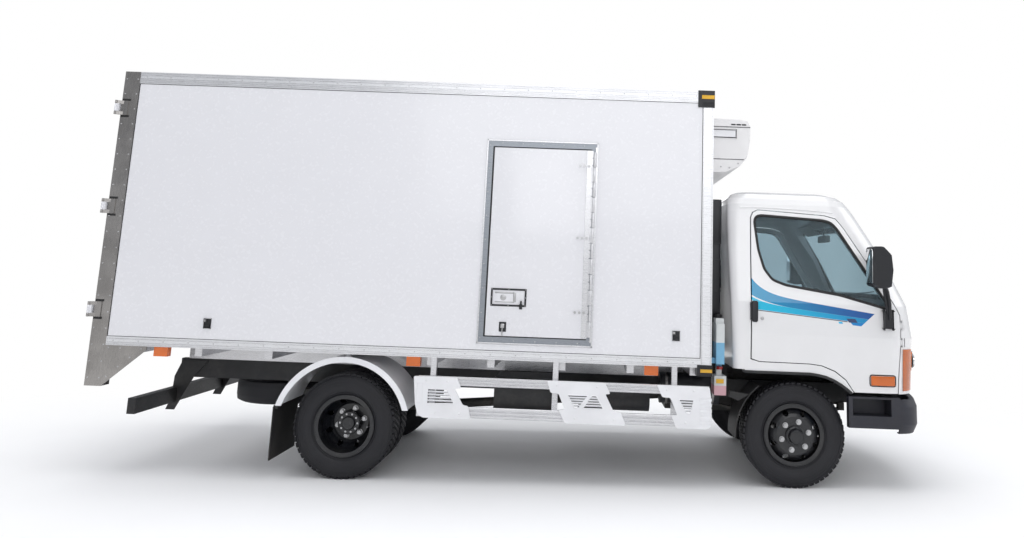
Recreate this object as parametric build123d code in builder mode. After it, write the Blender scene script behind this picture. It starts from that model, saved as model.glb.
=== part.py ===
from build123d import *
from collections import namedtuple
from math import asin, cos, pi, radians, sin
import os

os.makedirs("parts", exist_ok=True)

# Light refrigerated truck. Lengths in mm, angles in degrees.
# Body lengths are taken from the rear axle: x forward, y to the left, z up,
# in a frame that leans nose down by the rake, as the empty truck parks.
rake = 0.976
wheelbase = 3400
tyre_r = 383
rear_axle_x = -1269.33
seat = 0.3
running_gap = 0.5

base = Plane(
    origin=(rear_axle_x, 0, tyre_r),
    x_dir=(cos(radians(rake)), 0, -sin(radians(rake))),
    z_dir=(sin(radians(rake)), 0, cos(radians(rake))),
)

body_x = Axis(base.origin, base.x_dir)
body_z = Axis(base.origin, base.z_dir)

# Wheels and tyres
tyre_half_w = 100
rim_r = 203
rim_inner_r = 196
rim_lip_r = 225
rim_half_w = 84
rim_lip_w = 7
wheel_offset = 115
front_wheel_y = 825
twin_y = 742
front_axle_x = wheelbase * cos(radians(rake))
front_axle_z = wheelbase * sin(radians(rake))
front_rest = (front_axle_x, front_axle_z)
rear_rest = (0, 0)
drum_r = 160
hub_r = 70
spindle_r = 45
nave_r = 138
hand_hole_r = 21
hand_hole_pcd_r = 168
hand_holes = 8
disc_t = 10

# Frame
rail_y = 400
rail_flange = 60
rail_t = 6
rail_low = 235
rail_high = 385
rail_rear = -1560
rail_front = 4330
cross_depth = 60

# Kingpins and linkage
kingpin_y = 690
eye_r = 32
eye_half_h = 35
ear_t = 25
yoke_inner = 40
yoke_outer = 56
arm_reach = 150
arm_half_w = 14
tie_r = 12

# Load box
box_half_w = 1055
wall_t = 80
box_rear = -1936
box_front = 2745
panel_low = 605
panel_high = 2566
box_top = 2660
floor_low = 540
floor_top = 640
post_front = -1812
rail_proud = 3
corner_post_x = 2665
roof_low = 2575
sill_low = 240

Block = namedtuple("Block", "x_rear x_front y_right y_left z_low z_high")
Level = namedtuple("Level", "z rear front half_width corner rear_corner")


def plan(z):
    return base.offset(z)


def side(y):
    return Plane(origin=base.from_local_coords((0, y, 0)), x_dir=base.x_dir, z_dir=-base.y_dir)


def front(x):
    return Plane(origin=base.from_local_coords((x, 0, 0)), x_dir=base.y_dir, z_dir=base.x_dir)


def rectangle(plane, u_low, u_high, v_low, v_high):
    with BuildSketch(plane) as sk:
        with Locations(((u_low + u_high) / 2, (v_low + v_high) / 2)):
            Rectangle(u_high - u_low, v_high - v_low)
    return sk.sketch


def polygon(plane, points):
    with BuildSketch(plane) as sk:
        with BuildLine():
            Polyline(*points, close=True)
        make_face()
    return sk.sketch


def circle_face(plane, u, v, r):
    with BuildSketch(plane) as sk:
        with Locations((u, v)):
            Circle(r)
    return sk.sketch


def block(b, mode=Mode.ADD):
    face = rectangle(plan(b.z_low), b.x_rear, b.x_front, b.y_right, b.y_left)
    extrude(face, amount=b.z_high - b.z_low, mode=mode)


def both_sides(b, mode=Mode.ADD):
    block(b, mode)
    block(b._replace(y_right=-b.y_left, y_left=-b.y_right), mode)


def across(points, y_low, y_high, mode=Mode.ADD):
    extrude(polygon(side(y_high), points), amount=y_high - y_low, mode=mode)


def across_both(points, y_low, y_high, mode=Mode.ADD):
    across(points, y_low, y_high, mode)
    across(points, -y_high, -y_low, mode)


def drum(centre, r, y_low, y_high, mode=Mode.ADD):
    extrude(circle_face(side(y_high), centre[0], centre[1], r), amount=y_high - y_low, mode=mode)


def column(x, y, r, z_low, z_high, mode=Mode.ADD):
    extrude(circle_face(plan(z_low), x, y, r), amount=z_high - z_low, mode=mode)


def along(y, z, r, x_rear, x_front, mode=Mode.ADD):
    extrude(circle_face(front(x_rear), y, z, r), amount=x_front - x_rear, mode=mode)


def rod(start, end, r, mode=Mode.ADD):
    p0 = base.from_local_coords(start)
    p1 = base.from_local_coords(end)
    with BuildSketch(Plane(origin=p0, z_dir=p1 - p0)) as sk:
        Circle(r)
    extrude(sk.sketch, amount=(p1 - p0).length, mode=mode)


def bent_pipe(points, r, bend):
    spots = [base.from_local_coords(p) for p in points]
    with BuildLine() as path:
        FilletPolyline(*spots, radius=bend)
    with BuildSketch(Plane(origin=path.line @ 0, z_dir=path.line % 0)) as sk:
        Circle(r)
    sweep(sk.sketch, path=path.line)


def turned(centre, y_mid, points, flip=1, mode=Mode.ADD):
    """Ring about the wheel axis from (offset outwards, radius) points."""
    at = Plane(origin=base.from_local_coords((centre[0], y_mid, centre[1])), x_dir=base.y_dir, z_dir=base.x_dir)
    with BuildSketch(at) as sk:
        with BuildLine():
            Polyline(*[(flip * p, r) for p, r in points], close=True)
        make_face()
    revolve(sk.sketch, axis=Axis(at.origin, base.y_dir), mode=mode)


bead = rim_half_w - rim_lip_w - seat
tyre_profile = [
    (-bead, rim_r + seat), (-bead, 229), (-96, 258), (-100, 300), (-94, 350), (-80, 377), (-40, tyre_r),
    (40, tyre_r), (80, 377), (94, 350), (100, 300), (96, 258), (bead, 229), (bead, rim_r + seat),
]
rim_profile = [
    (-rim_half_w, rim_inner_r), (-rim_half_w, rim_lip_r), (rim_lip_w - rim_half_w, rim_lip_r),
    (rim_lip_w - rim_half_w, rim_r), (rim_half_w - rim_lip_w, rim_r), (rim_half_w - rim_lip_w, rim_lip_r),
    (rim_half_w, rim_lip_r), (rim_half_w, rim_inner_r),
]
disc_profile = [
    (30, rim_inner_r + 2), (62, 188), (98, 158), (wheel_offset, nave_r), (wheel_offset, hub_r - 12),
    (wheel_offset - disc_t, hub_r - 12), (wheel_offset - disc_t, nave_r - 4), (90, 152), (54, 180),
    (20, rim_inner_r + 2),
]


def rim(centre, y_mid, flip):
    turned(centre, y_mid, rim_profile, flip)
    turned(centre, y_mid, disc_profile, flip)
    low, high = sorted((y_mid + flip * (30), y_mid + flip * (wheel_offset + disc_t)))
    for i in range(hand_holes):
        a = 2 * pi * (i + 0.5) / hand_holes
        spot = (centre[0] + hand_hole_pcd_r * cos(a), centre[1] + hand_hole_pcd_r * sin(a))
        drum(spot, hand_hole_r, low, high, Mode.SUBTRACT)


# Tyres and rims, made on the left and mirrored
with BuildPart() as front_tyre_left:
    turned(front_rest, front_wheel_y, tyre_profile)
front_tyre_left.part.label = "front_tyre_left"

with BuildPart() as front_rim_left:
    rim(front_rest, front_wheel_y, 1)
    drum(front_rest, drum_r - 8, front_wheel_y - 60, front_wheel_y + 50)
    drum(front_rest, hub_r, front_wheel_y + 50, front_wheel_y + wheel_offset + 14)
    drum(front_rest, hub_r - 16, front_wheel_y + wheel_offset + 14, front_wheel_y + wheel_offset + 42)
front_rim_left.part.label = "front_rim_left"

with BuildPart() as rear_tyres_left:
    for y_mid in (twin_y - wheel_offset, twin_y + wheel_offset):
        turned(rear_rest, y_mid, tyre_profile)
rear_tyres_left.part.label = "rear_tyres_left"

with BuildPart() as rear_rims_left:
    rim(rear_rest, twin_y - wheel_offset, 1)
    rim(rear_rest, twin_y + wheel_offset, -1)
    drum(rear_rest, drum_r - 8, twin_y - 182, twin_y - 24)
    drum(rear_rest, hub_r, twin_y - 24, twin_y + 60)
    drum(rear_rest, hub_r + 14, twin_y + 60, twin_y + 74)
    drum(rear_rest, hub_r - 24, twin_y + 74, twin_y + 96)
rear_rims_left.part.label = "rear_rims_left"

wheels_left = [
    (front_tyre_left, "front_tyre"), (front_rim_left, "front_rim"),
    (rear_tyres_left, "rear_tyres"), (rear_rims_left, "rear_rims"),
]
for built, name in wheels_left:
    export_step(built.part, f"parts/{name}_left.step")
    with BuildPart() as opposite:
        add(mirror(built.part, about=Plane.XZ), clean=False)
    opposite.part.label = f"{name}_right"
    export_step(opposite.part, f"parts/{name}_right.step")

# Ladder frame: two channel rails, crossmembers, cab hinge brackets and rear cab rest
cross_x = [-1530, -810, 480, 1400, 2250, 4270]
cab_hinge = (4420, 370)
hinge_ear_t = 16
hinge_ear_r = 18
hinge_lug_r = 15
cab_rest_x = 2960
cab_rest_top = 535.7
with BuildPart() as chassis_frame:
    for s in (-1, 1):
        outer, inner, web = s * rail_y, s * (rail_y - rail_flange), s * (rail_y - rail_t)
        channel = [
            (outer, rail_low), (outer, rail_high), (inner, rail_high), (inner, rail_high - rail_t),
            (web, rail_high - rail_t), (web, rail_low + rail_t), (inner, rail_low + rail_t), (inner, rail_low),
        ]
        extrude(polygon(front(rail_rear), channel), amount=rail_front - rail_rear)
    for x in cross_x:
        post = Block(x, x + cross_depth, -rail_y + rail_t, rail_y - rail_t, rail_low + 20, rail_high - 12)
        block(post)
        hollow = post._replace(x_rear=x + rail_t, x_front=x + cross_depth)
        hollow = hollow._replace(z_low=post.z_low + rail_t, z_high=post.z_high - rail_t)
        block(hollow, Mode.SUBTRACT)
    # hinge brackets at the front ends of the rails
    for s in (-1, 1):
        y_mid = s * (rail_y - rail_flange / 2)
        bracket = [
            (rail_front - 150, rail_low + 10), (rail_front - 20, rail_low + 60),
            (cab_hinge[0] - 9, cab_hinge[1] - hinge_ear_r + 3), (cab_hinge[0], cab_hinge[1] + hinge_ear_r),
            (rail_front - 20, rail_high - 2), (rail_front - 150, rail_high - 2),
        ]
        across(bracket, y_mid - hinge_ear_t / 2, y_mid + hinge_ear_t / 2)
        drum(cab_hinge, hinge_ear_r, y_mid - hinge_ear_t / 2, y_mid + hinge_ear_t / 2)
    # rear rest of the cab
    both_sides(Block(cab_rest_x - 30, cab_rest_x + 30, rail_y - 50, rail_y - 4, rail_high - 1, cab_rest_top - 40))
    block(Block(cab_rest_x - 30, cab_rest_x + 30, -rail_y - 60, rail_y + 60, cab_rest_top - 45, cab_rest_top))
chassis_frame.part.label = "chassis_frame"
export_step(chassis_frame.part, "parts/chassis_frame.step")

# Front axle: dropped beam with spring pads and kingpin eyes
pad_top = 38
spring_y_low = 346
spring_y_high = 410
fx, fz = front_rest
with BuildPart() as front_axle:
    half = [
        (0, -14), (285, -14), (335, pad_top), (425, pad_top), (500, 28), (662, 28),
        (662, -28), (500, -34), (440, -34), (310, -84), (0, -84),
    ]
    beam = half + [(-y, z) for y, z in reversed(half[1:-1])]
    beam = [(y, fz + z) for y, z in beam]
    extrude(polygon(front(fx - 30), beam), amount=60)
    for s in (-1, 1):
        column(fx, s * kingpin_y, eye_r, fz - eye_half_h, fz + eye_half_h)
front_axle.part.label = "front_axle"
export_step(front_axle.part, "parts/front_axle.step")

# Steering knuckles: fork, yoke, backing plate, spindle and arm
plate_y = front_wheel_y - 80
with BuildPart() as knuckle_left:
    ear_low = fz - eye_half_h - running_gap - ear_t
    ear_high = fz + eye_half_h + running_gap
    for z in (ear_low, ear_high):
        column(fx, kingpin_y, eye_r - 3, z, z + ear_t)
        block(Block(fx - 24, fx + 24, kingpin_y, kingpin_y + yoke_outer, z, z + ear_t))
    yoke = Block(fx - 40, fx + 40, kingpin_y + yoke_inner, kingpin_y + yoke_outer, ear_low, ear_high + ear_t)
    block(yoke)
    drum(front_rest, drum_r + 6, plate_y, plate_y + 8)
    drum(front_rest, spindle_r, plate_y, front_wheel_y - 60 - seat)
    arm = [
        (fx + 20, kingpin_y - arm_half_w), (fx + 20, kingpin_y + arm_half_w),
        (fx - arm_reach, kingpin_y + arm_half_w), (fx - arm_reach, kingpin_y - arm_half_w),
    ]
    extrude(polygon(plan(ear_low), arm), amount=ear_t)
    column(fx - arm_reach, kingpin_y, arm_half_w + 4, ear_low, ear_low + ear_t)
knuckle_left.part.label = "knuckle_left"
export_step(knuckle_left.part, "parts/knuckle_left.step")
with BuildPart() as knuckle_right:
    add(mirror(knuckle_left.part, about=Plane.XZ), clean=False)
knuckle_right.part.label = "knuckle_right"
export_step(knuckle_right.part, "parts/knuckle_right.step")

tie_z = ear_low - running_gap - 2 * tie_r
with BuildPart() as tie_rod:
    rod((fx - arm_reach, -kingpin_y, tie_z + tie_r), (fx - arm_reach, kingpin_y, tie_z + tie_r), tie_r)
    for s in (-1, 1):
        column(fx - arm_reach, s * kingpin_y, arm_half_w + 3, tie_z - 2, ear_low - running_gap)
tie_rod.part.label = "tie_rod"
export_step(tie_rod.part, "parts/tie_rod.step")

# Rear axle with differential, spring pads, backing plates and propeller shaft
gearbox_out = (2500, 190)
rear_plate_y = twin_y - 202
with BuildPart() as rear_axle:
    drum(rear_rest, 55, -rear_plate_y, rear_plate_y)
    extrude(circle_face(front(-95), 0, 0, 150), amount=190)
    along(0, 0, 95, -130, -95)
    along(0, 0, 78, 95, 230)
    for s in (-1, 1):
        low, high = sorted((s * rear_plate_y, s * (rear_plate_y + 8)))
        drum(rear_rest, drum_r + 6, low, high)
        low, high = sorted((s * rear_plate_y, s * (twin_y - 182 - seat)))
        drum(rear_rest, spindle_r, low, high)
        low, high = sorted((s * (spring_y_low), s * (spring_y_high + 16)))
        block(Block(-62, 62, low, high, 0, 75))
    rod((210, 0, 2), (gearbox_out[0] - 3.5, 0, gearbox_out[1]), 38)
rear_axle.part.label = "rear_axle"
export_step(rear_axle.part, "parts/rear_axle.step")

# Leaf springs with hangers under the rails
Spring = namedtuple("Spring", "rear mid front z_end z_low thick y_low y_high hanger")
springs = [
    Spring(2890, fx, 3925, 178, fz + pad_top + seat, 40, spring_y_low, spring_y_high, 22),
    Spring(-620, 0, 610, 172, 75 + seat, 88, spring_y_low, spring_y_high + 16, 26),
]
with BuildPart() as leaf_springs:
    for sp in springs:
        for s in (-1, 1):
            low, high = sorted((s * sp.y_low, s * sp.y_high))
            with BuildSketch(side(high)) as pack:
                with BuildLine():
                    ThreePointArc((sp.rear, sp.z_end), (sp.mid, sp.z_low), (sp.front, sp.z_end))
                    Line((sp.front, sp.z_end), (sp.front, sp.z_end + 14))
                    ThreePointArc((sp.front, sp.z_end + 14), (sp.mid, sp.z_low + sp.thick), (sp.rear, sp.z_end + 14))
                    Line((sp.rear, sp.z_end + 14), (sp.rear, sp.z_end))
                make_face()
            extrude(pack.sketch, amount=high - low)
            for x in (sp.rear, sp.front):
                block(Block(x - sp.hanger, x + sp.hanger, low, high, sp.z_end - 6, rail_low - seat))
leaf_springs.part.label = "leaf_springs"
export_step(leaf_springs.part, "parts/leaf_springs.step")

# Engine as one plain block, with gearbox and radiator
engine_block = Block(3060, 3800, -270, 270, 100, 690)
gearbox = Block(gearbox_out[0], 3060, -165, 165, 95, 400)
radiator = Block(3880, 3940, -290, 290, 200, 640)
with BuildPart() as engine:
    block(engine_block)
    block(gearbox)
    block(radiator)
    block(Block(3800, 3880, -60, 60, 380, 460))
    both_sides(Block(3100, 3160, 268, rail_y - rail_t - seat, 260, 330))
engine.part.label = "engine"
export_step(engine.part, "parts/engine.step")

# Fuel tank on the left, battery box and air tank on the right, muffler, bottles
tank = Block(1650, 2330, 440, 860, 90, 430)
with BuildPart() as fuel_tank:
    block(tank)
    fillet(fuel_tank.part.edges().filter_by(body_x), 60)
    for x in (1800, 2120):
        block(Block(x, x + 50, rail_y + seat, tank.y_right + 4, 250, 370))
fuel_tank.part.label = "fuel_tank"
export_step(fuel_tank.part, "parts/fuel_tank.step")

battery = Block(1120, 1560, -940, -560, 130, 400)
with BuildPart() as battery_box:
    block(battery)
    block(battery._replace(x_rear=1110, x_front=1570, y_right=-950, y_left=-550, z_low=370, z_high=384))
    for x in (1180, 1450):
        block(Block(x, x + 45, -570, -rail_y - seat, 250, 330))
    along(-640, 250, 105, 1760, 2320)
    for x in (1860, 2180):
        block(Block(x, x + 45, -600, -rail_y - seat, 230, 300))
battery_box.part.label = "battery_box"
export_step(battery_box.part, "parts/battery_box.step")

with BuildPart() as exhaust:
    along(590, 240, 105, 720, 1330)
    bent_pipe([(3060 - seat, 240, 168), (1700, 240, 168), (1480, 590, 240), (1300, 590, 240)], 28, 80)
    bent_pipe([(760, 590, 240), (650, 590, 240), (600, 780, 190)], 30, 60)
    for x in (820, 1200):
        block(Block(x, x + 40, rail_y + seat, 500, 240, 300))
exhaust.part.label = "exhaust"
export_step(exhaust.part, "parts/exhaust.step")

with BuildPart() as fluid_bottles:
    block(Block(2800, 2862, -960, -780, 560, 860))
    block(Block(2800, 2862, -930, -820, 860, 900))
    block(Block(2790, 2880, -940, -790, 330, 470))
    block(Block(2815, 2855, -880, -840, 470, 560))
    block(Block(box_front + rail_proud + seat, 2802, -900, -850, 560, 600))
fluid_bottles.part.label = "fluid_bottles"
export_step(fluid_bottles.part, "parts/fluid_bottles.step")

# Air intake: upright duct behind the cab, hose and filter canister
with BuildPart() as air_cleaner:
    block(Block(2775, 2868, -720, -590, 700, 1830))
    fillet(air_cleaner.part.edges().filter_by(body_z), 24)
    block(Block(2770, 2873, -725, -585, 1480, 1840))
    column(2820, -655, 44, 440, 720)
    along(-655, 335, 118, 2400, 2860)
    block(Block(2520, 2580, -560, -rail_y - seat, 320, 380))
air_cleaner.part.label = "air_cleaner"
export_step(air_cleaner.part, "parts/air_cleaner.step")

# Spare wheel flat below the rails
spare_x = -828
spare_low = 24
with BuildPart() as spare_wheel:
    at = plan(spare_low + tyre_half_w)
    ring = Plane(origin=at.from_local_coords((spare_x, 0, 0)), x_dir=at.z_dir, z_dir=-at.y_dir)
    for points in (tyre_profile, rim_profile, disc_profile):
        with BuildSketch(ring) as sk:
            with BuildLine():
                Polyline(*[(p, r) for p, r in points], close=True)
            make_face()
        revolve(sk.sketch, axis=Axis(ring.origin, ring.x_dir))
    column(spare_x, 0, 64, spare_low + tyre_half_w + 104, rail_low + 20 - seat)
spare_wheel.part.label = "spare_wheel"
export_step(spare_wheel.part, "parts/spare_wheel.step")

# Rear underrun bar on plates that hang from the rails
bar = Block(-1625, -1564, 55 - box_half_w, box_half_w - 55, 37, 152)
with BuildPart() as rear_underrun:
    block(bar)
    plate = [
        (-1330, 372), (-1545, 372), (-1600, 240), (-1610, 60), (-1647, -29), (-1575, -29), (-1500, 120), (-1440, 240),
    ]
    across_both(plate, rail_y + seat, rail_y + 10)
rear_underrun.part.label = "rear_underrun"
export_step(rear_underrun.part, "parts/rear_underrun.step")

# Rear mudguards and flaps
guard_r = 500
guard_t = 8
guard_inner = 528
guard_outer = box_half_w - 11
lip_low_r = 476
lip_high_r = 518
foot_z = 146


def arch_ring(plane, r_low, r_high, z_foot, amount):
    a_low, a_high = asin(z_foot / r_low), asin(z_foot / r_high)
    low = [(r_low * cos(a), r_low * sin(a)) for a in (a_low, pi / 2, pi - a_low)]
    high = [(r_high * cos(a), r_high * sin(a)) for a in (a_high, pi / 2, pi - a_high)]
    with BuildSketch(plane) as sk:
        with BuildLine():
            ThreePointArc(*low)
            Line(low[2], high[2])
            ThreePointArc(high[2], high[1], high[0])
            Line(high[0], low[0])
        make_face()
    extrude(sk.sketch, amount=amount)


with BuildPart() as mudguards:
    for s in (-1, 1):
        low, high = sorted((s * guard_inner, s * guard_outer))
        arch_ring(side(high), guard_r, guard_r + guard_t, foot_z, high - low)
        low, high = sorted((s * (guard_outer - 10), s * guard_outer))
        arch_ring(side(high), lip_low_r, lip_high_r, foot_z, high - low)
        low, high = sorted((s * 640, s * 690))
        block(Block(-20, 20, low, high, guard_r + 4, floor_low - seat))
        low, high = sorted((s * 930, s * 980))
        block(Block(-20, 20, low, high, guard_r + 4, floor_low - seat))
mudguards.part.label = "mudguards"
export_step(mudguards.part, "parts/mudguards.step")

flap_low = -246
with BuildPart() as mud_flaps:
    both_sides(Block(-512, -504, guard_inner + 12, guard_outer - 4, flap_low, 138))
    both_sides(Block(-512, -478, guard_inner + 12, guard_outer - 14, 122, foot_z - seat))
mud_flaps.part.label = "mud_flaps"
export_step(mud_flaps.part, "parts/mud_flaps.step")

# Side guards: two rails, hanging posts and louvred panels
skirt_y = box_half_w - 3
Strip = namedtuple("Strip", "x_rear x_front z_low z_high")
skirt_rails = [Strip(560, 2736, 338, 403), Strip(560, 2736, 110, 188)]
skirt_posts = [640, 1560, 2452]
with BuildPart() as side_guards:
    for r in skirt_rails:
        both_sides(Block(r.x_rear, r.x_front, skirt_y - 34, skirt_y - 12, r.z_low, r.z_high))
    for x in skirt_posts:
        both_sides(Block(x, x + 50, skirt_y - 70, skirt_y - 34, skirt_rails[1].z_low + 10, floor_low - seat))
side_guards.part.label = "side_guards"
export_step(side_guards.part, "parts/side_guards.step")

skirt_rear_panel = [(526, 400), (862, 400), (962, 104), (650, 104), (560, 200)]
skirt_mid_panel = [(1524, 404), (1957, 404), (2137, 100), (1685, 100)]
skirt_front_panel = [(2345, 404), (2736, 404), (2757, 128), (2720, 98), (2500, 98)]
Slot = namedtuple("Slot", "x_low_rear x_low_front x_high_rear x_high_front z_low z_high")
panel_slots = [
    Slot(668, 868, 628, 834, 168, 186), Slot(640, 834, 610, 802, 222, 240),
    Slot(616, 802, 600, 776, 276, 294), Slot(600, 776, 590, 752, 330, 348),
    Slot(1700, 1960, 1650, 1800, 300, 322), Slot(1760, 2050, 1740, 1900, 160, 182),
    Slot(1720, 1880, 1700, 1850, 232, 252),
    Slot(2560, 2660, 2520, 2640, 330, 348), Slot(2585, 2680, 2545, 2660, 276, 294),
    Slot(2600, 2690, 2570, 2680, 222, 240), Slot(2620, 2700, 2590, 2690, 168, 186),
]
with BuildPart() as skirt_panels:
    for points in (skirt_rear_panel, skirt_mid_panel, skirt_front_panel):
        across_both(points, skirt_y - 12 + seat, skirt_y)
    for sl in panel_slots:
        cut = [
            (sl.x_low_rear, sl.z_low), (sl.x_low_front, sl.z_low),
            (sl.x_high_front, sl.z_high), (sl.x_high_rear, sl.z_high),
        ]
        across_both(cut, skirt_y - 20, skirt_y + 5, Mode.SUBTRACT)
skirt_panels.part.label = "skirt_panels"
export_step(skirt_panels.part, "parts/skirt_panels.step")

# Load box floor with runners and cross bearers
inner_y = box_half_w - wall_t
bearers = [-1700, -1180, -640, 600, 1060, 1600, 2120, 2600]
with BuildPart() as box_floor:
    block(Block(post_front + seat, corner_post_x - seat, seat - inner_y, inner_y - seat, floor_low, floor_top))
    both_sides(Block(-1500, 2620, rail_y - 62, rail_y - 2, rail_high + seat, floor_low))
    for x in bearers:
        block(Block(x, x + 55, -960, 960, 470, floor_low + 2))
box_floor.part.label = "box_floor"
export_step(box_floor.part, "parts/box_floor.step")

# Insulated walls and roof
door_open = Strip(1028, 1802, 708, 2162)
frame_w = 48
frame_open = Strip(door_open.x_rear - frame_w, door_open.x_front + frame_w, 656, 2214)
with BuildPart() as box_wall_left:
    block(Block(post_front, corner_post_x, inner_y, box_half_w, panel_low, panel_high))
box_wall_left.part.label = "box_wall_left"
export_step(box_wall_left.part, "parts/box_wall_left.step")

with BuildPart() as box_wall_right:
    block(Block(post_front, corner_post_x, -box_half_w, -inner_y, panel_low, panel_high))
    cut = Block(frame_open.x_rear, frame_open.x_front, -box_half_w - 5, -inner_y + 5, frame_open.z_low, frame_open.z_high)
    block(cut, Mode.SUBTRACT)
box_wall_right.part.label = "box_wall_right"
export_step(box_wall_right.part, "parts/box_wall_right.step")

with BuildPart() as box_wall_front:
    block(Block(corner_post_x, box_front, -inner_y, inner_y, panel_low, panel_high))
box_wall_front.part.label = "box_wall_front"
export_step(box_wall_front.part, "parts/box_wall_front.step")

with BuildPart() as box_roof:
    block(Block(post_front, corner_post_x, -inner_y, inner_y, roof_low, box_top - 4))
box_roof.part.label = "box_roof"
export_step(box_roof.part, "parts/box_roof.step")

# Aluminium edge rails, corner posts and the side door frame
outer_y = box_half_w + rail_proud
with BuildPart() as box_rails:
    both_sides(Block(post_front, corner_post_x, inner_y, outer_y, floor_low, panel_low))
    both_sides(Block(post_front, corner_post_x, inner_y, outer_y, panel_high, box_top))
    both_sides(Block(corner_post_x, box_front + rail_proud, inner_y, outer_y, floor_low, box_top))
    block(Block(corner_post_x, box_front + rail_proud, -inner_y, inner_y, panel_high, box_top))
    block(Block(corner_post_x, box_front + rail_proud, -inner_y, inner_y, floor_low, panel_low))
    frame = Block(frame_open.x_rear, frame_open.x_front, -outer_y - 2, -inner_y, frame_open.z_low, frame_open.z_high)
    block(frame)
    block(Block(door_open.x_rear, door_open.x_front, -outer_y - 5, -inner_y + 5, door_open.z_low, door_open.z_high), Mode.SUBTRACT)
box_rails.part.label = "box_rails"
export_step(box_rails.part, "parts/box_rails.step")

# Plastic caps over the front corners
cap_t = 6
Cap = namedtuple("Cap", "z_low z_high x_rear")
caps = [Cap(2530, box_top + cap_t, 2624), Cap(478, 560, 2640)]
with BuildPart() as corner_caps:
    for c in caps:
        both_sides(Block(c.x_rear, box_front + rail_proud + cap_t, inner_y - 10, outer_y + cap_t, c.z_low, c.z_high))
    core = Block(caps[0].x_rear - 5, box_front + rail_proud, -outer_y, outer_y, floor_low, box_top)
    block(core, Mode.SUBTRACT)
corner_caps.part.label = "corner_caps"
export_step(corner_caps.part, "parts/corner_caps.step")

# Stainless rear frame: posts with stop lip, header, sill and gussets
post_inner = 952
stop_inner = 922
stop_x = -1850
header_low = 2548
sill_top = 612
with BuildPart() as rear_frame:
    both_sides(Block(box_rear, post_front, post_inner, outer_y, sill_low, box_top))
    both_sides(Block(stop_x, post_front, stop_inner, post_inner, sill_top, header_low))
    block(Block(box_rear, post_front, -post_inner, post_inner, header_low, box_top))
    block(Block(stop_x, post_front, -post_inner, post_inner, header_low - 30, header_low))
    block(Block(box_rear, post_front, -post_inner, post_inner, 440, sill_top))
    block(Block(stop_x, post_front, -post_inner, post_inner, sill_top, sill_top + 28))
    gusset = [(post_front, sill_low), (post_front, floor_low - seat), (-1500, floor_low - seat), (-1500, 514)]
    across_both(gusset, outer_y - 8, outer_y)
rear_frame.part.label = "rear_frame"
export_step(rear_frame.part, "parts/rear_frame.step")

# Lamps in the rear sill and below the side rails
lamp_proud = 14
side_lamp_x = [-1395, 514, 2300]
with BuildPart() as box_lamps:
    for y in (430, 560, 690):
        both_sides(Block(box_rear - lamp_proud, box_rear - seat, y, y + 110, 470, 560))
    for x in side_lamp_x:
        both_sides(Block(x - 52, x + 52, outer_y - 60, outer_y - 8, 470, floor_low - seat))
box_lamps.part.label = "box_lamps"
export_step(box_lamps.part, "parts/box_lamps.step")

# Refrigeration unit on the front wall
fridge_half_w = 750
fridge_side = [
    (box_front + seat, 2062), (2900, 2070), (3010, 2120), (3076, 2200), (3098, 2330),
    (3100, 2452), (3080, 2492), (3020, 2506), (box_front + seat, 2512),
]
fan_y = 340
fan_z = 2300
fan_r = 150
fan_front = 3150
fan_depth = 3040
with BuildPart() as fridge_unit:
    across(fridge_side, -fridge_half_w, fridge_half_w)
    for y in (-fan_y, fan_y):
        extrude(circle_face(front(fan_depth), y, fan_z, fan_r), amount=fan_front - fan_depth, mode=Mode.SUBTRACT)
        extrude(circle_face(front(fan_depth - 10), y, fan_z, 46), amount=38)
fridge_unit.part.label = "fridge_unit"
export_step(fridge_unit.part, "parts/fridge_unit.step")

# Side door with hinge straps
leaf = Strip(1040, 1796, 716, 2154)
side_hinge = (1825, -outer_y - 22)
strap_h = 60
barrel_r = 9
side_strap_z = [880, 1440, 2000]
with BuildPart() as side_door:
    block(Block(leaf.x_rear, leaf.x_front, -outer_y - 2, -inner_y - 2, leaf.z_low, leaf.z_high))
    recess = Block(1078, 1333, -outer_y - 5, -outer_y + 18, 944, 1062)
    block(recess, Mode.SUBTRACT)
    block(Block(1150, 1290, -outer_y - 4, -outer_y + 18, 972, 1034))
    for z in side_strap_z:
        block(Block(1690, side_hinge[0], -outer_y - 16, -outer_y - 9, z, z + strap_h))
        block(Block(1690, 1790, -outer_y - 10, -outer_y, z, z + strap_h))
        column(side_hinge[0], side_hinge[1], barrel_r, z, z + strap_h)
        block(Block(side_hinge[0] - barrel_r, side_hinge[0], side_hinge[1], -outer_y - 9, z, z + strap_h))
side_door.part.label = "side_door"
export_step(side_door.part, "parts/side_door.step")

# Rear doors with hinge straps, and their lock bars
rear_face = -1942
rear_leaf_t = 78
centre_gap = 8
rear_leaf_edge = 946
rear_leaf_low = 618
rear_leaf_high = 2542
rear_hinge = (box_rear - 30, outer_y + 24)
rear_strap_z = [772, 1555, 2333]
bar_r = 12
bar_x = rear_face - 8 - bar_r
lock_bar_y = [150, 690]
guide_z = [700, 1050, 1900, 2450]
with BuildPart() as rear_door_left:
    block(Block(rear_face, rear_face + rear_leaf_t, centre_gap, rear_leaf_edge, rear_leaf_low, rear_leaf_high))
    for z in rear_strap_z:
        block(Block(rear_face - 8, rear_face, 780, rear_hinge[1], z, z + strap_h))
        column(rear_hinge[0], rear_hinge[1], barrel_r, z, z + strap_h)
        block(Block(rear_hinge[0], rear_face - 8, rear_hinge[1] - barrel_r, rear_hinge[1], z, z + strap_h))
rear_door_left.part.label = "rear_door_left"
export_step(rear_door_left.part, "parts/rear_door_left.step")
with BuildPart() as rear_door_right:
    add(mirror(rear_door_left.part, about=Plane.XZ), clean=False)
rear_door_right.part.label = "rear_door_right"
export_step(rear_door_right.part, "parts/rear_door_right.step")

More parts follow.
